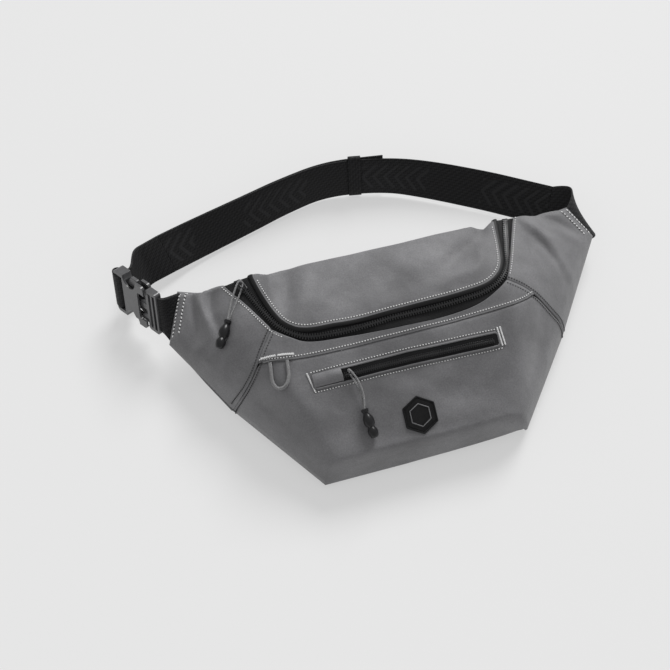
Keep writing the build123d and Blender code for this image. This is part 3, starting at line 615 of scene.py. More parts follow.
def tape_finish(colour):
    f = Finish("Zip tape", 0.6, sheen=0.0, specular=0.2)
    rib, row = f.waves(330, "X"), f.waves(330, "DIAGONAL")
    yarn = f.sum(rib, row, weight=0.5)
    dark, light = shades(colour, 0.6, 1.9)
    f.colour(f.ramp(yarn, [(0.2, dark), (0.8, light)]))
    f.bump(yarn, 0.00025, 0.8)
    f.roughness(f.speckle(400, 3), 0.45, 0.7)
    return f.material


def moulded_finish(name, colour, rough, grain=900, coat=0.0, wear=0.0, specular=0.5):
    """Moulded plastic or lacquered metal: a fine spark texture, soft flow marks and rubbed spots."""
    f = Finish(name, rough, specular=specular, coat=coat)
    f.shader.inputs["Coat Roughness"].default_value = 0.3
    marks = f.speckle(55, 5, rough=0.6)
    spark = f.speckle(grain, 2)
    dark, mid, light = shades(colour, 0.8, 1.0, 1.25 + wear)
    f.colour(f.ramp(marks, [(0.3, dark), (0.55, mid), (0.78, light)]))
    first = f.bump(spark, 0.00012, 0.5)
    f.bump(marks, 0.0004, 0.15, under=first)
    f.roughness(f.sum(marks, spark, weight=0.5), max(0.05, rough - 0.1), min(1, rough + 0.14))
    return f.material


def thread_finish(name, colour):
    f = Finish(name, 0.5, sheen=0.3, specular=0.4)
    ply = f.waves(500, "DIAGONAL", woven=False)
    dark, light = shades(colour, 0.7, 1.05)
    f.colour(f.ramp(ply, [(0.2, dark), (0.7, light)]))
    f.bump(ply, 0.0002, 0.7)
    return f.material


def satin_finish(colour):
    """Satin stitch: close parallel threads with a soft shine that turns by rows."""
    f = Finish("Satin stitch", 0.5, specular=0.3)
    rows = f.waves(420, "X", distortion=0.6, woven=False, turn=0.6)
    breaks = f.speckle(260, 3)
    dark, mid, light = shades(colour, 0.5, 1.0, 2.2)
    f.colour(f.ramp(f.sum(rows, breaks, weight=0.5), [(0.25, dark), (0.5, mid), (0.8, light)]))
    f.bump(rows, 0.0003, 0.9)
    f.roughness(breaks, 0.3, 0.6)
    return f.material


def cord_finish(name, colour):
    """Braided cord: crossing strands along the cord, with dark flecks."""
    f = Finish(name, 0.55, sheen=0.4, specular=0.4)
    left, right = f.waves(340, "DIAGONAL"), f.waves(340, "DIAGONAL", turn=math.pi / 2)
    braid = f.sum(left, right, weight=0.5)
    fleck = f.speckle(700, 2, woven=True)
    dark, light = shades(colour, 0.45, 1.35)
    base = f.ramp(braid, [(0.3, dark), (0.6, light)])
    flecks = f.ramp(fleck, [(0.4, (0.5, 0.5, 0.5)), (0.6, (1.15, 1.15, 1.15))])
    f.colour(f.blend(1.0, base, flecks, "MULTIPLY"))
    f.bump(braid, 0.0003, 0.9)
    return f.material


def spacer_finish(colour):
    """Spacer mesh for the back: small round holes in a knitted face, darkened in colour as painted shade."""
    f = Finish("Spacer mesh", 0.8, sheen=0.4, specular=0.3)
    holes_and_shade = f.node("ShaderNodeTexVoronoi")
    holes_and_shade.inputs["Scale"].default_value = 330
    holes_and_shade.inputs["Randomness"].default_value = 0.15
    f.link(f.place(), holes_and_shade.inputs["Vector"])
    knit = f.speckle(1200, 2)
    dark, light = shades(colour, 0.2, 1.4)
    # the holes' colour drops to a fifth of the face's: painted shade in the recesses
    f.colour(f.ramp(holes_and_shade.outputs["Distance"], [(0.25, dark), (0.45, light)]))
    first = f.bump(holes_and_shade.outputs["Distance"], 0.0012, 0.9)
    f.bump(knit, 0.0002, 0.4, under=first)
    return f.material


def lining_finish(colour):
    f = Finish("Lining taffeta", 0.5, sheen=0.15, specular=0.4)
    warp, weft = f.waves(900, "X", woven=False), f.waves(900, "Y", woven=False)
    creases_and_shade = f.speckle(38, 5)
    dark, light = shades(colour, 0.75, 1.2)
    # colour darker where the crease bump dips: painted shade in the creases
    f.colour(f.ramp(creases_and_shade, [(0.3, dark), (0.7, light)]))
    first = f.bump(f.sum(warp, weft, "MULTIPLY"), 0.0001, 0.5)
    f.bump(creases_and_shade, 0.004, 0.5, under=first)
    return f.material


# ------------------------------------------------------------------ properties
def colour_property(name, description, default):
    return bpy.props.FloatVectorProperty(
        name=name, description=description, subtype="COLOR", size=3, min=0, max=1, default=default)


def length_property(name, description, default):
    return bpy.props.FloatProperty(
        name=name, description=description, default=default * MM, min=0, unit="LENGTH")


class WaistPackColours(bpy.types.PropertyGroup):
    shell: colour_property("Shell", "Canvas of the pack's outside", (0.160, 0.159, 0.165))
    webbing: colour_property("Webbing", "Belt, keeper and tabs", (0.0165, 0.0165, 0.0172))
    tape: colour_property("Zip tape", "Woven tape of the zips", (0.0065, 0.0065, 0.007))
    thread: colour_property("Top stitching", "Pale thread of the seams", (0.88, 0.88, 0.88))
    # this dark thread colour also paints the needle-hole shadow dots between the pale stitches
    dark_thread: colour_property("Dart stitching", "Dark thread of the side seams", (0.03, 0.03, 0.032))
    buckle: colour_property("Buckle", "Moulded buckle", (0.075, 0.075, 0.078))
    toggle: colour_property("Toggles", "Moulded zip toggles", (0.009, 0.009, 0.010))
    cord: colour_property("Cords", "Zip pull cords and the cord loop", (0.34, 0.34, 0.345))
    lining: colour_property("Lining", "Fabric inside the pack", (0.08, 0.08, 0.085))
    back: colour_property("Back", "Spacer mesh of the back panel", (0.03, 0.03, 0.032))


class WaistPackSizes(bpy.types.PropertyGroup):
    cloth: length_property("Canvas thickness", "Thickness of the shell fabric", 1.2)
    webbing_thickness: length_property("Webbing thickness", "Thickness of the belt", 1.5)
    stitch_pitch: length_property("Stitch pitch", "Distance from stitch to stitch", 2.5)
    tooth_pitch: length_property("Tooth pitch", "Distance from zip tooth to zip tooth", 2.3)
    cord_diameter: length_property("Pull cord diameter", "Diameter of the zip pulls' cord", 1.6)
    loop_diameter: length_property("Loop cord diameter", "Diameter of the hanging loop's cord", 3.0)
    pad_swell: length_property("Pad swell", "How far the back padding may swell", 5.0)


def colours():
    return bpy.context.scene.waist_pack_colours


def sizes():
    return bpy.context.scene.waist_pack_sizes


FINISHES = {}


def finish_of(slot):
    """The material for a slot, made once."""
    if slot not in FINISHES:
        c = colours()
        webbing, tape, toggle = tuple(c.webbing), tuple(c.tape), tuple(c.toggle)
        makers = {
            "shell_fabric": lambda: shell_finish(tuple(c.shell)),
            "webbing": lambda: webbing_finish(webbing),
            "webbing_figured": lambda: webbing_finish(webbing, "Belt webbing, figured", figured=True),
            "zip_tape": lambda: tape_finish(tape),
            "zip_teeth": lambda: moulded_finish(
                "Zip teeth", tuple(v * 2 for v in tape), 0.28, grain=1500, coat=0.3),
            "piping": lambda: moulded_finish("Zip guard binding", tape, 0.5, grain=700, specular=0.25),
            "slider_metal": lambda: moulded_finish("Lacquered slider", toggle, 0.3, coat=0.4, wear=0.6),
            "pull_plastic": lambda: moulded_finish(
                "Moulded toggle", toggle, 0.3, grain=800, coat=0.15, specular=0.35),
            "buckle_plastic": lambda: moulded_finish(
                "Moulded buckle", tuple(c.buckle), 0.3, grain=1100, wear=0.15, coat=0.3),
            "thread": lambda: thread_finish("Pale thread", tuple(c.thread)),
            "dark_thread": lambda: thread_finish("Dark thread", tuple(c.dark_thread)),
            "badge_thread": lambda: satin_finish(tape),
            "pull_cord": lambda: cord_finish("Pull cord", tuple(c.cord)),
            "loop_cord": lambda: cord_finish("Loop cord", tuple(c.cord)),
            "back_mesh": lambda: spacer_finish(tuple(c.back)),
            "lining_fabric": lambda: lining_finish(tuple(c.lining)),
        }
        FINISHES[slot] = makers[slot]()
    return FINISHES[slot]


# ------------------------------------------------------------------ stage
CAMERA_PLACE = (-0.1713, -0.4201, 1.0414)
CAMERA_RIGHT = (0.9664, -0.2571, 0)
CAMERA_UP = (0.233, 0.876, 0.4226)
CAMERA_BACK = (-0.1087, -0.4084, 0.9063)
CAMERA_LENS = 67.16
FLOOR_GREY, FLOOR_GLOW, FLOOR_DROP = 0.34, 0.475, 0.0003


class WAISTPACK_OT_stage(bpy.types.Operator):
    """Camera, pale floor and soft studio light"""
    bl_idname = "waistpack.stage"
    bl_label = "Stage"

    def execute(self, context):
        lens = bpy.data.cameras.new("Camera")
        lens.lens, lens.sensor_width = CAMERA_LENS, 36
        lens.clip_start, lens.clip_end = 0.05, 20
        camera = bpy.data.objects.new("Camera", lens)
        turn = Matrix((CAMERA_RIGHT, CAMERA_UP, CAMERA_BACK)).transposed().to_4x4()
        camera.matrix_world = Matrix.Translation(CAMERA_PLACE) @ turn
        context.scene.collection.objects.link(camera)
        context.scene.camera = camera

        bm = bmesh.new()
        bmesh.ops.create_grid(bm, x_segments=2, y_segments=2, size=4.0)
        mesh = bpy.data.meshes.new("Floor")
        bm.to_mesh(mesh)
        bm.free()
        floor = bpy.data.objects.new("Floor", mesh)
        floor.location.z = -FLOOR_DROP
        context.scene.collection.objects.link(floor)
        paper = bpy.data.materials.new("Pale paper")
        paper.use_nodes = True
        shader = paper.node_tree.nodes["Principled BSDF"]
        shader.inputs["Base Color"].default_value = (FLOOR_GREY, FLOOR_GREY, FLOOR_GREY, 1)
        shader.inputs["Emission Color"].default_value = (1, 1, 1, 1)
        shader.inputs["Emission Strength"].default_value = FLOOR_GLOW
        shader.inputs["Roughness"].default_value = 0.9
        shader.inputs["Specular IOR Level"].default_value = 0.1
        mesh.materials.append(paper)

        world = context.scene.world or bpy.data.worlds.new("World")
        context.scene.world = world
        world.use_nodes = True
        sky = world.node_tree.nodes["Background"]
        sky.inputs["Color"].default_value = (1, 1, 1, 1)
        sky.inputs["Strength"].default_value = 0.43
        context.scene.view_settings.view_transform = "Standard"
        for name, kind, place, size, power in (
            ("Key", "SUN", (0.62, 0.95, 0.95), math.radians(24), 2.25),
            ("Gloss", "AREA", (0.5, 0.75, 0.9), 0.35, 1.6),
        ):
            data = bpy.data.lights.new(name, kind)
            data.energy = power
            if kind == "SUN":
                data.angle = size
            else:
                data.size = size
            lamp = bpy.data.objects.new(name, data)
            aim = (Vector((0, 0.03, 0.04)) - Vector(place)).to_track_quat("-Z", "Y")
            lamp.matrix_world = Matrix.Translation(place) @ aim.to_matrix().to_4x4()
            context.scene.collection.objects.link(lamp)
        return {"FINISHED"}


# ------------------------------------------------------------------ cords and toggles
MAIN_BAR = Vector((-123.409, 81.218, 77.700))
MAIN_ALONG, MAIN_ACROSS, MAIN_NORMAL = (
    Vector((0.368, -0.907, 0.203)), Vector((0.817, 0.420, 0.395)), Vector((-0.443, 0.021, 0.896)))
MAIN_AWAY = Vector((-0.5238, -0.8173, -0.2402))
POCKET_BAR = Vector((-52.0, -21.675, 72.954))
POCKET_ALONG, POCKET_ACROSS, POCKET_NORMAL = (
    Vector((1, 0, 0)), Vector((0, 0.9085, 0.4179)), Vector((0, -0.4179, 0.9085)))
POCKET_AWAY = Vector((0.1392, -0.8996, -0.4138))
# each pull route: distance from the bar, height over it and drift to the side
MAIN_PULL_ROUTE = [
    (32, 1.0, 0), (16, 1.9, -2.0), (-2.7, 3.1, -1.2), (-4.0, 0, 0), (-2.7, -3.1, 1.2),
    (16, -0.6, 2.2), (32, -1.0, 0),
]
POCKET_PULL_ROUTE = [
    (32, 1.0, 0), (22, 1.6, 4.2), (8, 2.4, 4.2), (-2.7, 3.1, 1.0), (-4.0, 0, 0), (-2.7, -3.1, -0.8),
    (8, -0.6, 1.6), (22, 0.4, 1.8), (32, -1.0, 0),
]
TOGGLE_OUTLINE = [
    (32.1, 0), (32.1, 2.6), (32.5, 3.2), (34.4, 3.3), (35.0, 3.0), (35.3, 2.3), (36.2, 2.3),
    (38.0, 3.4), (40.5, 4.5), (43.5, 4.8), (46.0, 4.4), (47.6, 3.4), (48.4, 2.9), (49.2, 3.2),
    (50.6, 4.1), (52.8, 4.4), (55.0, 4.1), (57.0, 3.4), (57.9, 2.4), (58.1, 1.0), (58.1, 0),
]
LOOP_ROUTE = [
    (-114.4, 5.0, 1.5), (-114.9, -2.5, 2.2), (-116.0, -10.0, 2.2), (-112.6, -17.0, 1.9), (-105.6, -17.4, 1.9),
    (-102.0, -10.0, 2.2), (-101.4, -4.0, 2.2), (-100.6, 2.0, 1.5),
]


def smooth_cord(name, points, diameter, body, slot, nodes):
    """A cord on one NURBS line through its control points, in mm."""
    curve = bpy.data.curves.new(name, "CURVE")
    curve.dimensions = "3D"
    curve.bevel_depth = diameter / 2
    curve.bevel_resolution = 4
    curve.resolution_u = 16
    curve.use_fill_caps = True
    line = curve.splines.new("NURBS")
    line.points.add(len(points) - 1)
    for knot, point in zip(line.points, points):
        knot.co = (*(Vector(point) * MM), 1)
    line.order_u = 3
    line.use_endpoint_u = True
    cord = bpy.data.objects.new(name, curve)
    bpy.context.scene.collection.objects.link(cord)
    curve.materials.append(finish_of(slot))
    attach(cord, body)
    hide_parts(*nodes)
    return cord


def pull_points(bar, away, normal, route):
    side = normal.cross(away).normalized()
    lift = away.cross(side).normalized()
    if lift.dot(normal) < 0:
        lift = -lift
    return [bar + away * s + lift * h + side * drift for s, h, drift in route]


def add_toggle(name, bar, away, body, nodes):
    """A moulded toggle turned about its cord, with a collar ring and two swells."""
    bm = bmesh.new()
    side = away.orthogonal().normalized()
    verts = [bm.verts.new(bar + away * s + side * r) for s, r in TOGGLE_OUTLINE]
    edges = [bm.edges.new(pair) for pair in zip(verts, verts[1:])]
    bmesh.ops.spin(bm, geom=verts + edges, cent=bar, axis=away, angle=2 * math.pi, steps=28, use_merge=True)
    bmesh.ops.remove_doubles(bm, verts=bm.verts[:], dist=0.01)
    bmesh.ops.recalc_face_normals(bm, faces=bm.faces[:])
    piece = add_piece(name, bm, body, finish_of("pull_plastic"), nodes)
    piece.data.set_sharp_from_angle(angle=math.radians(50))
    return piece


class WAISTPACK_OT_cords(bpy.types.Operator):
    """Zip pull cords with their toggles, and the hanging cord loop"""
    bl_idname = "waistpack.cords"
    bl_label = "Cords and Toggles"

    def execute(self, context):
        s = sizes()
        for name, bar, away, normal, route in (
            ("main", MAIN_BAR, MAIN_AWAY, MAIN_NORMAL, MAIN_PULL_ROUTE),
            ("pocket", POCKET_BAR, POCKET_AWAY, POCKET_NORMAL, POCKET_PULL_ROUTE),
        ):
            points = pull_points(bar, away, normal, route)
            body = f"{name}_pull"
            cord = smooth_cord(f"{name}_cord", points, s.cord_diameter, body, "pull_cord",
                               [f"{name}_pull_cord"])
            toggle = add_toggle(f"{name}_toggle", bar, away, body, [f"{name}_pull_toggle"])
        points = [on_fabric(x, y, lift)[0] for x, y, lift in LOOP_ROUTE]
        loop = smooth_cord("hanging_loop", points, s.loop_diameter, "pack", "loop_cord", ["cord_loop"])
        return {"FINISHED"}


# ------------------------------------------------------------------ shell
def hinge_y(x):
    """Plan y of the line where the lid turns, on the top wall."""
    return float(min(95.6, WALL_FOOT_Y + np.interp(x, TOP_X, TOP_OUT) - 3.6))


ZIP_LEFT_SIDE = [
    (-107, 31.5), (-108.5, 35), (-114.2, 46.5), (-122, 62), (-131, 78.3), (-136.5, 88), (-138, 95.8),
]
ZIP_RIGHT_SIDE = [(101, 25), (104.5, 31), (110.6, 44.4), (117.4, 60.9), (128.3, 86.4), (131, 92), (132, 95.8)]
FRONT_EDGE = [p for p in OUTER_EDGE if -102 < p[0] < 96]
FLAP_LEFT = [(-99, 38.5), (-102, 45), (-106.4, 60), (-110.5, 78), (-112.5, 92)]
FLAP_RIGHT = [(101.4, 41), (105, 53), (110, 83), (111.5, 92)]
FLAP_FRONT = [(-99, 38.5)] + LID_EDGE[4:-4] + [(100, 36.5), (101.4, 41)]


TUCK_REACH = 0.04


def tuck(depth):
    """Lowers a panel along its upper edge, where the next one lies over it."""
    return lambda u, v: -depth * np.clip((v - 1 + TUCK_REACH) / TUCK_REACH, 0, 1) ** 2 + 0 * u


class WAISTPACK_OT_shell(bpy.types.Operator):
    """Front panel, middle band, wings and top wall"""
    bl_idname = "waistpack.shell"
    bl_label = "Shell"

    def execute(self, context):
        cloth = sizes().cloth / MM
        canvas = finish_of("shell_fabric")
        upper = list(reversed(DART_LEFT[2:])) + [(x, y + 1.6) for x, y in FRONT_SEAM[1:-1]] + DART_RIGHT[2:]
        low = [(-92, -90), (87, -88.4), (93.2, -86)]
        right = [(93.2, -86), (97, -81.2), (152, -10)]
        front = patch(low, upper, [low[0], (-154, -4)], right, 170, 60)
        bm = grid_mesh(draped(front, 90, tuck(1.3)))
        face_up(bm)
        thicken(add_piece("front_shell", bm, "pack", canvas, ["front_panel"]), cloth)

        top = [DART_LEFT[0]] + FRONT_EDGE + [DART_RIGHT[0]]
        band = patch(FRONT_SEAM, top, list(reversed(DART_LEFT[:3])), list(reversed(DART_RIGHT[:3])), 150, 24)
        bm = grid_mesh(draped(band, 28) + np.array([0, 0, 0.35]))
        face_up(bm)
        thicken(add_piece("band_shell", bm, "pack", canvas, ["middle_band"]), cloth)

        wings = (
            ("left", DART_LEFT[:-1] + [(-152, -5), (-154, -4), (-155, -2), (-195, 65)],
             [(-138, 95.8), (-142, 98), (-160, 101.5), (-177, 105)], ZIP_LEFT_SIDE, [(-195, 65), (-177, 105)],
             [(-155, -4, 11), (-195, 65, 28), (-177, 105, 48), (-142, 98, 38), (-134, 96, 26)], -1),
            ("right", DART_RIGHT[:-1] + [(151, -10), (152, -10), (153, -8.5), (207, 72)],
             [(132, 95.8), (142, 97), (165, 97.6), (187, 98)], ZIP_RIGHT_SIDE, [(207, 72), (187, 98)],
             [(152, -10, 11), (207, 72, 30), (187, 98, 48), (142, 97, 38), (134, 96, 26)], 1),
        )
        for side, low, high, near, end, under, sign in wings:
            wing = patch(low, high, near, end, 90, 50)
            bm = grid_mesh(draped(wing, 80))
            face_up(bm)
            nodes = [f"{side}_wing", f"{side}_gusset"]
            thicken(add_piece(f"{side}_wing_shell", bm, "pack", canvas, nodes), cloth)
            inner = [(sign * 118, -2, 3.5), (sign * 120, 40, 3.5), (sign * 118, 93, 3.5)]
            back = patch(inner, under, [inner[0], under[0]], [inner[-1], under[-1]], 60, 24)
            bm = grid_mesh(back)
            face_up(bm)
            bmesh.ops.reverse_faces(bm, faces=bm.faces[:])
            thicken(add_piece(f"{side}_wing_back", bm, "pack", canvas), cloth)

        x = np.linspace(-134, 134, 90)
        low_edge = np.array([[v, min(94.5, hinge_y(v) + 2.2), 6.5] for v in x])
        top_edge = np.array([[v, hinge_y(v) + 0.2, 29.5] for v in x])
        share = np.linspace(0, 1, 12)[None, :, None]
        wall = (1 - share) * low_edge[:, None, :] + share * top_edge[:, None, :]
        wall[..., 1] += 0.9 * np.sin(share[..., 0] * math.pi) * (1 + 0.6 * np.sin(x * 0.09))[:, None]
        bm = grid_mesh(wall)
        face_back(bm)
        thicken(add_piece("top_wall_shell", bm, "pack", canvas, ["top_wall"]), cloth)
        return {"FINISHED"}


class WAISTPACK_OT_lid(bpy.types.Operator):
    """Lid with its bound edge"""
    bl_idname = "waistpack.lid"
    bl_label = "Lid"

    def execute(self, context):
        cloth = sizes().cloth / MM
        turn_line = [(x, hinge_y(x)) for x in np.linspace(TURN_LEFT, TURN_RIGHT, 24)]
        left = FLAP_LEFT + [turn_line[0]]
        right = FLAP_RIGHT + [turn_line[-1]]
        area = patch(FLAP_FRONT, turn_line, left, right, 130, 90)
        points = draped(area, 100) + np.array([0, 0, 1.0])
        bm = grid_mesh(points)
        face_up(bm)
        canvas, taffeta = finish_of("shell_fabric"), finish_of("lining_fabric")
        thicken(add_piece("lid_shell", bm, "lid", canvas, ["lid_panel"]), cloth)
        bm = grid_mesh(points - np.array([0, 0.6, 2.8]))
        face_up(bm)
        thicken(add_piece("lid_inside", bm, "lid", taffeta, ["lid_lining"]), 0.5)

        turn_x = np.linspace(-111.5, 110.5, 90)
        lower = np.array([[x, 94.2 + 0.5 * np.interp(x, TOP_X, TOP_OUT), HINGE_Z - 1.5] for x in turn_x])
        upper = np.array([[x, hinge_y(x) - 1.0, float(height(x, hinge_y(x) - 1.0)) + 0.4] for x in turn_x])
        share = np.linspace(0, 1, 9)[None, :, None]
        bm = grid_mesh(lower[:, None] * (1 - share) + upper[:, None] * share)
        face_back(bm)
        thicken(add_piece("lid_hinge_cloth", bm, "lid", canvas), 0.8)

        line = spaced(zip_run(1.0, 900), 300)
        spots = [on_fabric(x, y, 0.1) for x, y, _ in line if y < hinge_y(x)]
        bm = tube([p for p, _ in spots], 2.5, sides=12, flatten=0.4, normals=[n for _, n in spots])
        add_piece("lid_binding", bm, "lid", finish_of("piping"), ["lid_piping"])
        return {"FINISHED"}


def zip_run(share, count):
    """The zip's line on the fabric. Share 0 is the body's edge of it and 1 the lid's."""
    outer = spaced(rounded([ZIP_END_LEFT] + OUTER_EDGE + [ZIP_END_RIGHT]), count)
    turns = [(x, hinge_y(x)) for x in (TURN_LEFT, TURN_RIGHT)]
    inner = spaced(rounded(turns[:1] + LID_EDGE + turns[1:]), count)
    share = np.asarray(share, float).reshape(-1, 1)
    line = outer * (1 - share) + inner * share
    return np.column_stack([line, height(line[:, 0], line[:, 1])])


def chain_share(count):
    """Where the chain runs between the zip's two edges, from its left end to its right end."""
    u = np.linspace(0, 1, count)
    return np.interp(u, [0, 0.2, 0.27, 0.36, 0.48, 0.68, 0.76, 0.82, 0.88, 1],
                     [0.5, 0.5, 0.38, 0.38, 0.64, 0.64, 0.5, 0.3, 0.4, 0.45])


def zip_strip(start, end, across, depth):
    """A tape between two shares of the zip's width, evenly spaced along the run."""
    count = 900
    chain = chain_share(count)
    rows = []
    for k in np.linspace(0, 1, across):
        rows.append(zip_run(start(chain) * (1 - k) + end(chain) * k, count))
    rows = np.array(rows)
    middle = rows[across // 2]
    reach = np.concatenate([[0], np.cumsum(np.linalg.norm(np.diff(middle, axis=0), axis=1))])
    wanted = np.linspace(0, reach[-1], 260)
    strip = np.stack([
        np.stack([np.interp(wanted, reach, row[:, a]) for a in range(3)], axis=1) for row in rows])
    strip[..., 2] -= depth
    return strip


def teeth(bm, line, side_of, pitch, size, phase, lift):
    """Zip teeth along a line: small rounded blocks that reach across it from one side."""
    reach = np.concatenate([[0], np.cumsum(np.linalg.norm(np.diff(line, axis=0), axis=1))])
    stops = np.arange(2 + phase * pitch, reach[-1] - 2, pitch)
    spots = np.stack([np.interp(stops, reach, line[:, a]) for a in range(3)], axis=1)
    along, across, tall = size
    for k, spot in enumerate(spots):
        ahead = Vector(spots[min(k + 1, len(spots) - 1)] - spots[max(k - 1, 0)])
        middle, normal = on_fabric(spot[0], spot[1], lift)
        middle.z = spot[2] + lift
        ahead = (ahead - normal * ahead.dot(normal)).normalized()
        side = normal.cross(ahead) * side_of
        basis = Matrix((ahead * along, side * across, normal * tall)).transposed().to_4x4()
        bmesh.ops.create_cube(bm, size=1.0, matrix=Matrix.Translation(middle + side * across * 0.28) @ basis)


def round_blocks(bm, width):
    bmesh.ops.recalc_face_normals(bm, faces=bm.faces[:])
    bmesh.ops.bevel(bm, geom=bm.edges[:], offset=width, segments=1, profile=0.5, affect="EDGES", material=-1)


class WAISTPACK_OT_main_zip(bpy.types.Operator):
    """Tapes and teeth of the U zip"""
    bl_idname = "waistpack.main_zip"
    bl_label = "Main Zip"

    def execute(self, context):
        pitch = sizes().tooth_pitch / MM
        tape, tooth = finish_of("zip_tape"), finish_of("zip_teeth")
        strip = zip_strip(lambda c: 0 * c - 0.12, lambda c: c - 0.02, 8, 1.3)
        bm = grid_mesh(strip)
        face_up(bm)
        thicken(add_piece("zip_tape_body", bm, "pack", tape, ["main_zip_tape_body"]), 0.6)
        strip = zip_strip(lambda c: c + 0.02, lambda c: 0 * c + 1.08, 8, 1.0)
        bm = grid_mesh(strip)
        face_up(bm)
        thicken(add_piece("zip_tape_lid", bm, "lid", tape, ["main_zip_tape_lid"]), 0.6)
        chain = zip_run(chain_share(900), 900)
        for name, side, phase, body, node in (
            ("zip_teeth_body", 1, 0.0, "pack", "main_zip_teeth_body"),
            ("zip_teeth_lid", -1, 0.5, "lid", "main_zip_teeth_lid"),
        ):
            bm = bmesh.new()
            teeth(bm, chain, side, pitch, (1.25, 3.2, 1.6), phase, -0.5)
            round_blocks(bm, 0.28)
            add_piece(name, bm, body, tooth, [node], smooth=False)
        return {"FINISHED"}


# ------------------------------------------------------------------ front pocket
POCKET_LEFT, POCKET_RIGHT = -84.0, 80.0
POCKET_LOW, POCKET_HIGH, POCKET_CHAIN = -25.2, -14.4, -20.4
GARAGE_END = -58.0


def pocket_y(x, level):
    """The pocket's lines bow a little upwards at their middle."""
    return level + 0.6 * (1 - (x / 86.0) ** 2) - 0.3 - 1.2 * max(0.0, x / 80.0)


def garage_bulge(u, v):
    """How high the cloth over the pocket zip's left end stands."""
    arch = np.sin(math.pi * v)
    return 1.7 + 2.2 * arch * (0.5 + 0.5 * u) + 0.3 * np.sin(u * 9) * arch


class WAISTPACK_OT_pocket(bpy.types.Operator):
    """Zipped front pocket: tape, teeth, garage, welts and bartacks"""
    bl_idname = "waistpack.pocket"
    bl_label = "Front Pocket"

    def execute(self, context):
        canvas, tape = finish_of("shell_fabric"), finish_of("zip_tape")
        x = np.linspace(POCKET_LEFT + 0.4, POCKET_RIGHT - 0.4, 170)
        low = [(v, pocket_y(v, POCKET_LOW)) for v in x]
        high = [(v, pocket_y(v, POCKET_HIGH)) for v in x]
        area = patch(low, high, [low[0], high[0]], [low[-1], high[-1]], 150, 12)
        points = draped(area, 12)
        points[..., 2] += 0.9
        bm = grid_mesh(points)
        face_up(bm)
        thicken(add_piece("pocket_tape", bm, "pack", tape, ["pocket_zip_tape"]), 0.5)

        plan = [(v, pocket_y(v, POCKET_CHAIN)) for v in np.linspace(GARAGE_END - 6, POCKET_RIGHT - 2.5, 120)]
        line = np.array([(a, b, float(height(a, b))) for a, b in plan])
        bm = bmesh.new()
        pitch = sizes().tooth_pitch / MM * 0.8
        teeth(bm, line, 1, pitch, (1.05, 2.8, 1.5), 0.0, 1.55)
        teeth(bm, line, -1, pitch, (1.05, 2.8, 1.5), 0.5, 1.55)
        round_blocks(bm, 0.22)
        add_piece("pocket_teeth", bm, "pack", finish_of("zip_teeth"),
                  ["pocket_zip_teeth"], smooth=False)

        low = [(v, pocket_y(v, POCKET_LOW + 0.4)) for v in (POCKET_LEFT, -70, GARAGE_END)]
        high = [(v, pocket_y(v, POCKET_HIGH - 0.4)) for v in (POCKET_LEFT, -70, GARAGE_END - 0.8)]
        area = patch(low, high, [low[0], high[0]], [low[-1], high[-1]], 40, 16)
        bm = grid_mesh(draped(area, 16, garage_bulge))
        face_up(bm)
        garage = add_piece("pocket_garage", bm, "pack", canvas, ["pocket_zip_garage"])
        thicken(garage, 0.9, rim_bevel=0.3)

        bm = bmesh.new()
        corner = 1.6
        frame_line = [(POCKET_LEFT + corner, pocket_y(POCKET_LEFT, POCKET_LOW)), (0, pocket_y(0, POCKET_LOW)),
                      (POCKET_RIGHT - corner, pocket_y(POCKET_RIGHT, POCKET_LOW))]
        top_line = [(POCKET_RIGHT - corner, pocket_y(POCKET_RIGHT, POCKET_HIGH)),
                    (0, pocket_y(0, POCKET_HIGH)),
                    (POCKET_LEFT + corner, pocket_y(POCKET_LEFT, POCKET_HIGH))]
        right_end = [(POCKET_RIGHT, frame_line[-1][1] + corner), (POCKET_RIGHT, top_line[0][1] - corner)]
        left_end = [(POCKET_LEFT, top_line[-1][1] - corner), (POCKET_LEFT, frame_line[0][1] + corner)]
        ring = spaced(frame_line, 120).tolist() + right_end + spaced(top_line, 120).tolist() + left_end
        ring.append(ring[0])
        spots = [on_fabric(a, b, 0.6) for a, b in spaced(ring, 300)]
        merge(bm, tube([p for p, _ in spots], 0.95, sides=8, flatten=0.9, normals=[n for _, n in spots]))
        add_piece("pocket_welts", bm, "pack", canvas)

        bm = bmesh.new()
        for x_at in (POCKET_LEFT - 1.8, POCKET_RIGHT + 1.4, POCKET_RIGHT + 3.9):
            lean = 0.5 if x_at > 0 else 1.6
            thread_bar(bm, (x_at - lean, POCKET_HIGH + 2.4), (x_at + lean, POCKET_LOW - 2.2), 1.7, 26, 0.55)
        add_piece("pocket_bartack_threads", bm, "pack", finish_of("thread"), ["pocket_bartacks"])
        return {"FINISHED"}


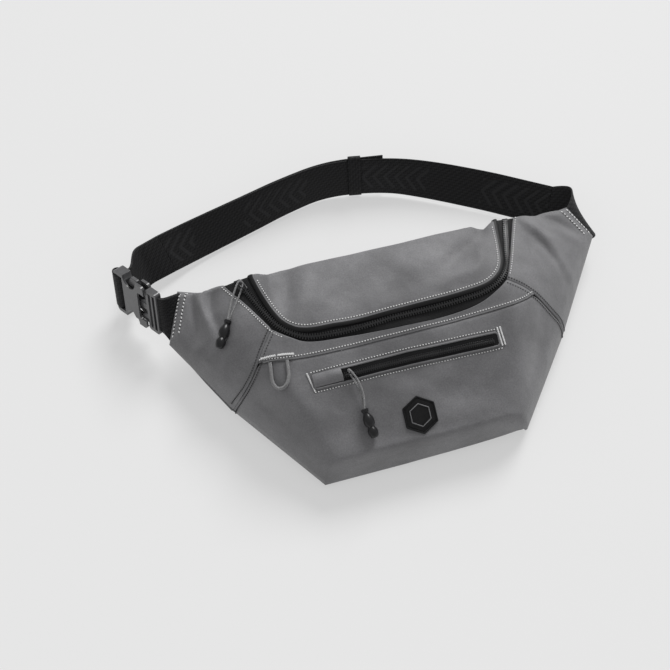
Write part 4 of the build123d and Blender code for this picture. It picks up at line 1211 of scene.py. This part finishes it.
# ------------------------------------------------------------------ sliders
def add_slider(name, bar, along, across, normal, body, node):
    """A zip slider: two bevelled plates on a post, with an arched bail over the upper one."""
    bm = bmesh.new()
    centre = bar - normal * 6.4
    basis = Matrix((along, across, normal)).transposed().to_4x4()
    for level, long, wide, thick in ((2.3, 11.0, 8.4, 1.3), (-1.6, 10.4, 8.0, 1.1)):
        made = bmesh.ops.create_cube(bm, size=1.0)
        for vert in made["verts"]:
            nose = 0.72 if vert.co.x > 0 else 1.0
            vert.co = Vector((vert.co.x * long, vert.co.y * wide * nose, vert.co.z * thick + level))
    post = bmesh.ops.create_cube(bm, size=1.0)
    for vert in post["verts"]:
        vert.co = Vector((vert.co.x * 3.5 - 3.0, vert.co.y * 1.6, vert.co.z * 3.4 + 0.3))
    bmesh.ops.bevel(bm, geom=bm.edges[:], offset=0.45, segments=3, profile=0.5, affect="EDGES", material=-1)
    arch = [
        (-4.6, 2.6), (-4.7, 4.2), (-4.1, 5.8), (-2.6, 6.6), (0, 6.8),
        (2.6, 6.6), (4.1, 5.8), (4.7, 4.2), (4.6, 2.6),
    ]
    line = rounded([(a, 0, b) for a, b in arch], 2)
    merge(bm, tube(line, 0.85, sides=10, flatten=0.8, normals=[(0, 1, 0)] * len(line)))
    bmesh.ops.transform(bm, matrix=Matrix.Translation(centre) @ basis, verts=bm.verts[:])
    piece = add_piece(name, bm, body, finish_of("slider_metal"), [node])
    piece.data.set_sharp_from_angle(angle=math.radians(60))
    return piece


class WAISTPACK_OT_sliders(bpy.types.Operator):
    """Sliders of the U zip and of the pocket zip"""
    bl_idname = "waistpack.sliders"
    bl_label = "Sliders"

    def execute(self, context):
        add_slider("main_slider_body", MAIN_BAR, MAIN_ALONG, MAIN_ACROSS, MAIN_NORMAL,
                   "main_slider", "main_slider")
        add_slider("pocket_slider_body", POCKET_BAR, POCKET_ALONG, POCKET_ACROSS, POCKET_NORMAL,
                   "pocket_slider", "pocket_slider")
        return {"FINISHED"}


# ------------------------------------------------------------------ badge
BADGE_CENTRE, BADGE_SIZE = (-1.5, -64.0), 15.5


def hexagon(radius, per_side=12):
    corners = [(radius * math.sin(k * math.pi / 3), radius * math.cos(k * math.pi / 3)) for k in range(7)]
    ring = []
    for a, b in zip(corners, corners[1:]):
        for t in range(per_side):
            ring.append((a[0] + (b[0] - a[0]) * t / per_side, a[1] + (b[1] - a[1]) * t / per_side))
    return ring + [ring[0]]


class WAISTPACK_OT_badge(bpy.types.Operator):
    """Plain six-sided embroidered patch"""
    bl_idname = "waistpack.badge"
    bl_label = "Badge"

    def execute(self, context):
        bm = bmesh.new()
        bmesh.ops.create_grid(bm, x_segments=36, y_segments=36, size=BADGE_SIZE)
        reach = BADGE_SIZE * math.cos(math.pi / 6)
        side_turns = [k * math.pi / 3 + math.pi / 6 for k in range(6)]
        for turn in side_turns:
            way = Vector((math.sin(turn), math.cos(turn), 0))
            everything = bm.verts[:] + bm.edges[:] + bm.faces[:]
            bmesh.ops.bisect_plane(bm, geom=everything, plane_co=way * reach, plane_no=way, clear_outer=True)
        cx, cy = BADGE_CENTRE
        for vert in bm.verts:
            edge = max(vert.co.x * math.sin(t) + vert.co.y * math.cos(t) for t in side_turns)
            puff = 0.55 * min(1.0, (reach - edge) / 2.0) + 0.25
            vert.co = on_fabric(cx + vert.co.x, cy + vert.co.y * 0.92, puff)[0]
        face_up(bm)
        field = add_piece("badge_field", bm, "pack", finish_of("badge_thread"),
                          ["front_badge"])
        thicken(field, 0.4)
        bm = bmesh.new()
        spots = [on_fabric(cx + a, cy + b * 0.92, 0.45) for a, b in hexagon(BADGE_SIZE)]
        merge(bm, tube([p for p, _ in spots], 0.75, sides=8, normals=[n for _, n in spots]))
        add_piece("badge_rim", bm, "pack", finish_of("badge_thread"))
        bm = bmesh.new()
        ring = hexagon(BADGE_SIZE * 0.62, 5)
        for a, b in zip(ring, ring[1:]):
            start, end = (cx + a[0], cy + a[1] * 0.92), (cx + b[0], cy + b[1] * 0.92)
            thread_bar(bm, start, end, 1.1, 5, 1.0)
        add_piece("badge_inner_ring", bm, "pack", finish_of("shell_fabric"))
        return {"FINISHED"}


# ------------------------------------------------------------------ stitching
class WAISTPACK_OT_stitching(bpy.types.Operator):
    """Rows of top stitching and the loop's bartacks"""
    bl_idname = "waistpack.stitching"
    bl_label = "Stitching"

    def execute(self, context):
        pitch = sizes().stitch_pitch / MM
        pale, dark = finish_of("thread"), finish_of("dark_thread")
        bm, holes_and_shade = bmesh.new(), bmesh.new()
        edge = [(p[0], p[1]) for p in zip_run(0.0, 400) if p[1] < 90]
        left_leg = [p for p in edge if p[0] < -104 or (p[0] < -98 and p[1] < 32)]
        right_leg = [p for p in edge if p[0] > 103]
        for leg in (left_leg, right_leg):
            stitches(bm, shifted(leg, -2.0), pitch, 1.7, 1.1, holes_and_shade=holes_and_shade)
        stitches(bm, shifted(FRONT_SEAM, 2.6), pitch, 1.7, 1.05, lift=0.5, holes_and_shade=holes_and_shade)
        low, high = POCKET_LOW - 2.6, POCKET_HIGH + 2.4
        for level in (low, high):
            row = [(v, pocket_y(v, level)) for v in np.linspace(POCKET_LEFT - 1, POCKET_RIGHT + 2, 12)]
            stitches(bm, row, pitch, 1.6, 1.0, holes_and_shade=holes_and_shade)
        for start, end, inset in (
            ((-195, 65), (-177, 105), 1), ((207, 72), (187, 98), -1),
        ):
            a, b = Vector(start), Vector(end)
            way = Vector((inset, 0)) if inset > 0 else Vector((inset, -0.35))
            for k, offset in enumerate((3.2, 9.6)):
                row = [tuple(a.lerp(b, t) + way * offset) for t in (0.06, 0.5, 0.94)]
                stitches(bm, row, pitch * 1.25, 2.3, 1.45, lift=0.3, lean=0.5 if k else -0.5, holes_and_shade=holes_and_shade)
        add_piece("pale_stitches", bm, "pack", pale)
        # dark dots between the pale stitches: painted needle-hole shadows
        add_piece("needle_hole_shadows", holes_and_shade, "pack", dark)

        bm, holes_and_shade = bmesh.new(), bmesh.new()
        edge = [(p[0], p[1]) for p in zip_run(1.0, 200) if p[1] < 82]
        stitches(bm, shifted(edge, 3.4), pitch, 1.7, 1.1, lift=1.15, holes_and_shade=holes_and_shade)
        add_piece("lid_stitches", bm, "lid", pale)
        # dark dots between the lid's stitches: painted needle-hole shadows
        add_piece("lid_needle_hole_shadows", holes_and_shade, "lid", dark)

        bm = bmesh.new()
        for dart in (DART_LEFT, DART_RIGHT):
            for offset in (-2.9, 2.9):
                stitches(bm, shifted(dart, offset), pitch, 1.7, 1.6, lift=0.2)
        add_piece("dart_stitches", bm, "pack", dark)

        bm = bmesh.new()
        for start, end, wide in (
            ((-121.5, 11.4), (-109.0, 8.6), 2.4), ((-107.4, 8.2), (-94.0, 5.2), 2.4),
        ):
            thread_bar(bm, start, end, wide, 18, 0.9)
        add_piece("loop_bartack_threads", bm, "pack", pale, ["loop_bartack"])
        bm = bmesh.new()
        thread_bar(bm, (-120.0, 7.4), (-95.0, 1.7), 1.1, 34, 0.9)
        add_piece("loop_lower_bartack", bm, "pack", finish_of("pull_cord"))
        return {"FINISHED"}


# ------------------------------------------------------------------ back padding and linings
PAD_OUTLINE = [(-88, -84), (88, -84), (143, -8), (138, 40), (131, 93.5), (-131, 93.5), (-138, 40), (-143, -8)]


def swollen(piece, voxel, pressure, cap, floor_level):
    """Swells a closed pad by cloth simulation and keeps it off the floor line."""
    scene = bpy.context.scene
    remesh = piece.modifiers.new("Even skin", "REMESH")
    remesh.mode, remesh.voxel_size = "VOXEL", voxel
    settle(piece)
    before = np.array([v.co for v in piece.data.vertices])
    cloth = piece.modifiers.new("Pad", "CLOTH")
    cloth.settings.use_pressure = True
    cloth.settings.uniform_pressure_force = pressure
    cloth.settings.effector_weights.gravity = 0
    scene.frame_start, scene.frame_end = 1, 20
    for step in range(1, 21):
        scene.frame_set(step)
    graph = bpy.context.evaluated_depsgraph_get()
    after = np.array([v.co for v in piece.evaluated_get(graph).data.vertices])
    piece.modifiers.remove(cloth)
    scene.frame_set(1)
    move = after - before
    far = np.linalg.norm(move, axis=1)
    move *= (np.minimum(far, cap) / np.maximum(far, 1e-9))[:, None]
    place = before + move
    place[:, 2] = np.maximum(place[:, 2], floor_level)
    piece.data.vertices.foreach_set("co", place.astype(np.float32).ravel())
    piece.data.update()


def settle(piece):
    """Applies a piece's modifiers."""
    graph = bpy.context.evaluated_depsgraph_get()
    made = bpy.data.meshes.new_from_object(piece.evaluated_get(graph))
    old = piece.data
    piece.modifiers.clear()
    piece.data = made
    bpy.data.meshes.remove(old)


PAD_BASE, PAD_HEIGHT = 1.6, 5.4


class WAISTPACK_OT_back_pad(bpy.types.Operator):
    """Padded back panel with its binding"""
    bl_idname = "waistpack.back_pad"
    bl_label = "Back Padding"

    def execute(self, context):
        bm = bmesh.new()
        verts = [bm.verts.new((x, y, PAD_BASE)) for x, y in PAD_OUTLINE]
        base = bm.faces.new(verts)
        risen = bmesh.ops.extrude_face_region(bm, geom=[base])
        top = [v for v in risen["geom"] if isinstance(v, bmesh.types.BMVert)]
        bmesh.ops.translate(bm, vec=(0, 0, PAD_HEIGHT), verts=top)
        upright = [e for e in bm.edges if abs(e.verts[0].co.z - e.verts[1].co.z) > 1]
        bmesh.ops.bevel(bm, geom=upright, offset=9, segments=4, profile=0.5, affect="EDGES", material=-1)
        bmesh.ops.recalc_face_normals(bm, faces=bm.faces[:])
        pad = add_piece("back_padding", bm, None, finish_of("back_mesh"))
        swollen(pad, 0.0045, 4.0, sizes().pad_swell, 0.0002)
        for polygon in pad.data.polygons:
            polygon.use_smooth = True
        smoother = pad.modifiers.new("Smooth skin", "SUBSURF")
        smoother.levels = smoother.render_levels = 1
        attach(pad, "pack")
        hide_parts("back_panel")

        ring = rounded([(x * 1.012, y * 1.015 - 0.4, 7.2) for x, y in PAD_OUTLINE + PAD_OUTLINE[:1]], 2)
        bm = tube(spaced(ring, 200), 1.7, sides=8)
        add_piece("back_binding", bm, "pack", finish_of("webbing"))
        return {"FINISHED"}


def softened_copy(node, name, body, slot, width, segments, angle=28):
    """A copy of a CAD part with its faces joined and its edges rounded."""
    bm = bmesh.new()
    bm.from_mesh(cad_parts[node].data)
    bmesh.ops.remove_doubles(bm, verts=bm.verts[:], dist=1e-5)
    bmesh.ops.scale(bm, vec=(1 / MM, 1 / MM, 1 / MM), verts=bm.verts[:])
    bmesh.ops.dissolve_limit(bm, angle_limit=math.radians(2), verts=bm.verts[:], edges=bm.edges[:])
    piece = add_piece(name, bm, body, finish_of(slot), [node])
    piece.data.set_sharp_from_angle(angle=math.radians(angle))
    soften(piece, width, segments, angle)
    return piece


class WAISTPACK_OT_linings(bpy.types.Operator):
    """Linings inside the pack and the pocket"""
    bl_idname = "waistpack.linings"
    bl_label = "Linings"

    def execute(self, context):
        softened_copy("main_lining", "main_lining_cloth", "pack", "lining_fabric", 0.25, 2)
        softened_copy("pocket_lining", "pocket_lining_cloth", "pack", "lining_fabric", 0.2, 2)
        return {"FINISHED"}


# ------------------------------------------------------------------ belt
STRAP_LIFT, STRAP_RISE, BUCKLE_LIFT = 2.8, 7.0, 9.0
# x, y and height of the lower edge, heading and lean in degrees
RING = [
    (176, 108, STRAP_LIFT, 152, 52), (150, 124, STRAP_LIFT, 150, 46), (122, 141, STRAP_LIFT, 151, 44),
    (71, 169, STRAP_LIFT, 155, 36), (38, 184, STRAP_LIFT, 170.5, 26), (-16, 193, STRAP_LIFT, 170.5, 26),
    (-58, 184, STRAP_LIFT, 193, 28), (-87, 175, STRAP_LIFT, 195, 33), (-147, 158, STRAP_LIFT, 197, 44),
    (-174, 148, STRAP_RISE, 200, 46),
]
BUCKLE_START = Vector((-196.5, 88.0, 45.0))
BUCKLE_OUT, BUCKLE_DOWN, BUCKLE_FACE = (
    Vector((-0.537, 0.799, -0.270)), Vector((-0.0966, -0.3762, -0.9215)), Vector((-0.838, -0.4689, 0.2793)))
BAR_DISTANCE = 53.5
WRAP_RADIUS = 4.9


def strap_edges(station, shift=0.0):
    """Lower and upper edge of the belt where it stands on its lower edge and leans away from the pack."""
    x, y, lift, heading, lean = station
    turn, tilt = math.radians(heading), math.radians(lean)
    along = Vector((math.cos(turn), math.sin(turn), 0))
    out = Vector((along.y, -along.x, 0))
    up = Vector((0, 0, 1)) * math.cos(tilt) + out * math.sin(tilt)
    face = along.cross(up).normalized()
    low = Vector((x, y, lift)) + face * shift
    return low, low + up * (2 * WEBBING_HALF)


def belt_piece(name, lower, upper, body, nodes, slot="webbing_figured", count=120, thickness=None,
               wave=0.0):
    """Webbing between two edges given in mm."""
    low, high = spaced(rounded(lower, 4), count), spaced(rounded(upper, 4), count)
    share = np.linspace(0, 1, 13)[:, None, None]
    points = low[None] * (1 - share) + high[None] * share
    if wave:
        span = high - low
        ahead = np.gradient((low + high) / 2, axis=0)
        face = np.cross(ahead, span)
        face /= np.linalg.norm(face, axis=1)[:, None]
        bow = np.sin(share[..., 0] * math.pi) * wave * np.sin(np.linspace(0, 9, count))[None]
        points = points + face[None] * bow[..., None]
    bm = grid_mesh(points)
    bmesh.ops.recalc_face_normals(bm, faces=bm.faces[:])
    piece = add_piece(name, bm, body, finish_of(slot))
    if nodes:
        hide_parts(*nodes)
    thicken(piece, thickness or sizes().webbing_thickness / MM, offset=0.0)
    soften(piece, 0.45, 2, 60)
    return piece


class WAISTPACK_OT_belt(bpy.types.Operator):
    """Webbing belt, its doubled run, keeper and tabs"""
    bl_idname = "waistpack.belt"
    bl_label = "Belt"

    def execute(self, context):
        edges = [strap_edges(s) for s in RING]
        belt_piece("belt", *zip(*edges), "pack", ["strap"], count=260, wave=0.5)
        outer = [strap_edges(s, 2.0) for s in RING[4:]]
        tail_lift = Vector((0, 0, 2.6))
        outer[0] = (outer[0][0] + tail_lift, outer[0][1] + tail_lift)
        belt_piece("belt_return", *zip(*outer), "pack", ["strap_return"], count=160, wave=0.4)

        bar = BUCKLE_START + BUCKLE_OUT * BAR_DISTANCE
        half, before = BUCKLE_DOWN * WEBBING_HALF, Vector((8, -1, 0))
        for name, shift, reach, nodes in (
            ("belt_end_inner", 0.0, WRAP_RADIUS - 1.8, ["strap_end"]),
            ("belt_end_outer", 2.0, WRAP_RADIUS, []),
        ):
            run = [strap_edges(RING[-1], shift), strap_edges((-200, 139, BUCKLE_LIFT, 200, 40), shift)]
            end = bar - BUCKLE_FACE * reach
            run.insert(1, tuple(a.lerp(b, 0.5) for a, b in zip(*run)))
            run.append((end + half + before, end - half + before))
            run.append((end + half, end - half))
            piece = belt_piece(name, *zip(*run), None, nodes, slot="webbing")
            settle(piece)
            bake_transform(piece)

        turn = np.linspace(math.radians(-178), math.radians(172), 56)
        reach = [1.75 if math.sin(t) > 0 else 1.15 for t in turn]
        section = [(BUCKLE_FACE * math.cos(t) * 1.2 + BUCKLE_OUT * math.sin(t) * r) * (WRAP_RADIUS - 0.9)
                   for t, r in zip(turn, reach)]
        around = np.array([[bar - BUCKLE_DOWN * w + spot for spot in section]
                           for w in np.linspace(-WEBBING_HALF, WEBBING_HALF, 13)])
        bm = grid_mesh(around)
        bmesh.ops.recalc_face_normals(bm, faces=bm.faces[:])
        wrap = add_piece("belt_wrap", bm, "buckle_housing", finish_of("webbing"), ["strap_wrap"])
        thicken(wrap, 1.6, offset=0.0)
        soften(wrap, 0.4, 2, 60)

        first = strap_edges(RING[0])
        lower = [(205, 70, 28.5), (211, 73, 25.5), (213, 80, 20), (206, 91, 11), (192, 100, 4.6),
                 tuple(first[0])]
        upper = [(186, 97, 46), (193, 104, 46), (200, 115, 42), (203, 125, 35.5), (198, 131, 30),
                 tuple(first[1])]
        belt_piece("belt_anchor", lower, upper, "pack", ["strap_anchor"], slot="webbing", count=60)

        back, ahead = BUCKLE_OUT * 4, BUCKLE_OUT * 5
        lower = [(-192, 66.5, 26.5), tuple(BUCKLE_START + half - back), tuple(BUCKLE_START + half + ahead)]
        upper = [(-176, 103, 48), tuple(BUCKLE_START - half - back), tuple(BUCKLE_START - half + ahead)]
        belt_piece("buckle_tab_webbing", lower, upper, "pack", ["buckle_tab"], slot="webbing",
                   count=40, thickness=3.0)

        centre = Vector((12.4, 197.4, 20.6))
        along = Vector((-0.986, 0.164, 0))
        up = Vector((0.072, 0.432, 0.899))
        face = along.cross(up)
        tall, deep = 20.8, 2.6
        outline = rounded([
            (0, tall), (deep, tall), (deep, 0), (deep, -tall),
            (-deep, -tall), (-deep, 0), (-deep, tall), (0, tall),
        ], 3)
        loop = spaced(outline, 80)
        band = np.array([[centre + along * w + face * a + up * b for a, b in loop]
                         for w in np.linspace(-6, 6, 7)])
        bm = grid_mesh(band)
        bmesh.ops.remove_doubles(bm, verts=bm.verts[:], dist=0.01)
        bmesh.ops.recalc_face_normals(bm, faces=bm.faces[:])
        keeper = add_piece("keeper_band", bm, "strap_keeper", finish_of("webbing"),
                           ["strap_keeper"])
        thicken(keeper, 1.1, offset=0.0)
        soften(keeper, 0.3, 2, 60)
        return {"FINISHED"}


class WAISTPACK_OT_buckle(bpy.types.Operator):
    """Side-release buckle"""
    bl_idname = "waistpack.buckle"
    bl_label = "Buckle"

    def execute(self, context):
        for node, body in (
            ("buckle_housing", "buckle_housing"), ("buckle_base", "pack"),
            ("buckle_arm_upper", "buckle_arm_upper"), ("buckle_arm_lower", "buckle_arm_lower"),
        ):
            softened_copy(node, f"{node}_moulding", body, "buckle_plastic", 0.55, 3)
        return {"FINISHED"}


# ------------------------------------------------------------------ panel and start
OPERATORS = (
    WAISTPACK_OT_stage, WAISTPACK_OT_cords, WAISTPACK_OT_shell, WAISTPACK_OT_lid, WAISTPACK_OT_main_zip,
    WAISTPACK_OT_pocket, WAISTPACK_OT_sliders, WAISTPACK_OT_badge, WAISTPACK_OT_stitching,
    WAISTPACK_OT_back_pad, WAISTPACK_OT_linings, WAISTPACK_OT_belt, WAISTPACK_OT_buckle,
)


class WAISTPACK_PT_panel(bpy.types.Panel):
    """Buttons for each group of pieces"""
    bl_idname = "WAISTPACK_PT_panel"
    bl_label = "Waist Pack"
    bl_space_type = "VIEW_3D"
    bl_region_type = "UI"
    bl_category = "Waist Pack"

    def draw(self, context):
        for group in (context.scene.waist_pack_sizes, context.scene.waist_pack_colours):
            column = self.layout.column(align=True)
            for key in group.__annotations__:
                column.prop(group, key)
        for operator in OPERATORS:
            self.layout.operator(operator.bl_idname)


CLASSES = (WaistPackColours, WaistPackSizes, *OPERATORS, WAISTPACK_PT_panel)


def register():
    for made in CLASSES:
        bpy.utils.register_class(made)
    bpy.types.Scene.waist_pack_colours = bpy.props.PointerProperty(type=WaistPackColours)
    bpy.types.Scene.waist_pack_sizes = bpy.props.PointerProperty(type=WaistPackSizes)


def unregister():
    del bpy.types.Scene.waist_pack_sizes
    del bpy.types.Scene.waist_pack_colours
    for made in reversed(CLASSES):
        bpy.utils.unregister_class(made)


def main():
    register()
    for operator in OPERATORS:
        group, name = operator.bl_idname.split(".")
        getattr(getattr(bpy.ops, group), name)()


if __name__ == "__main__":
    main()
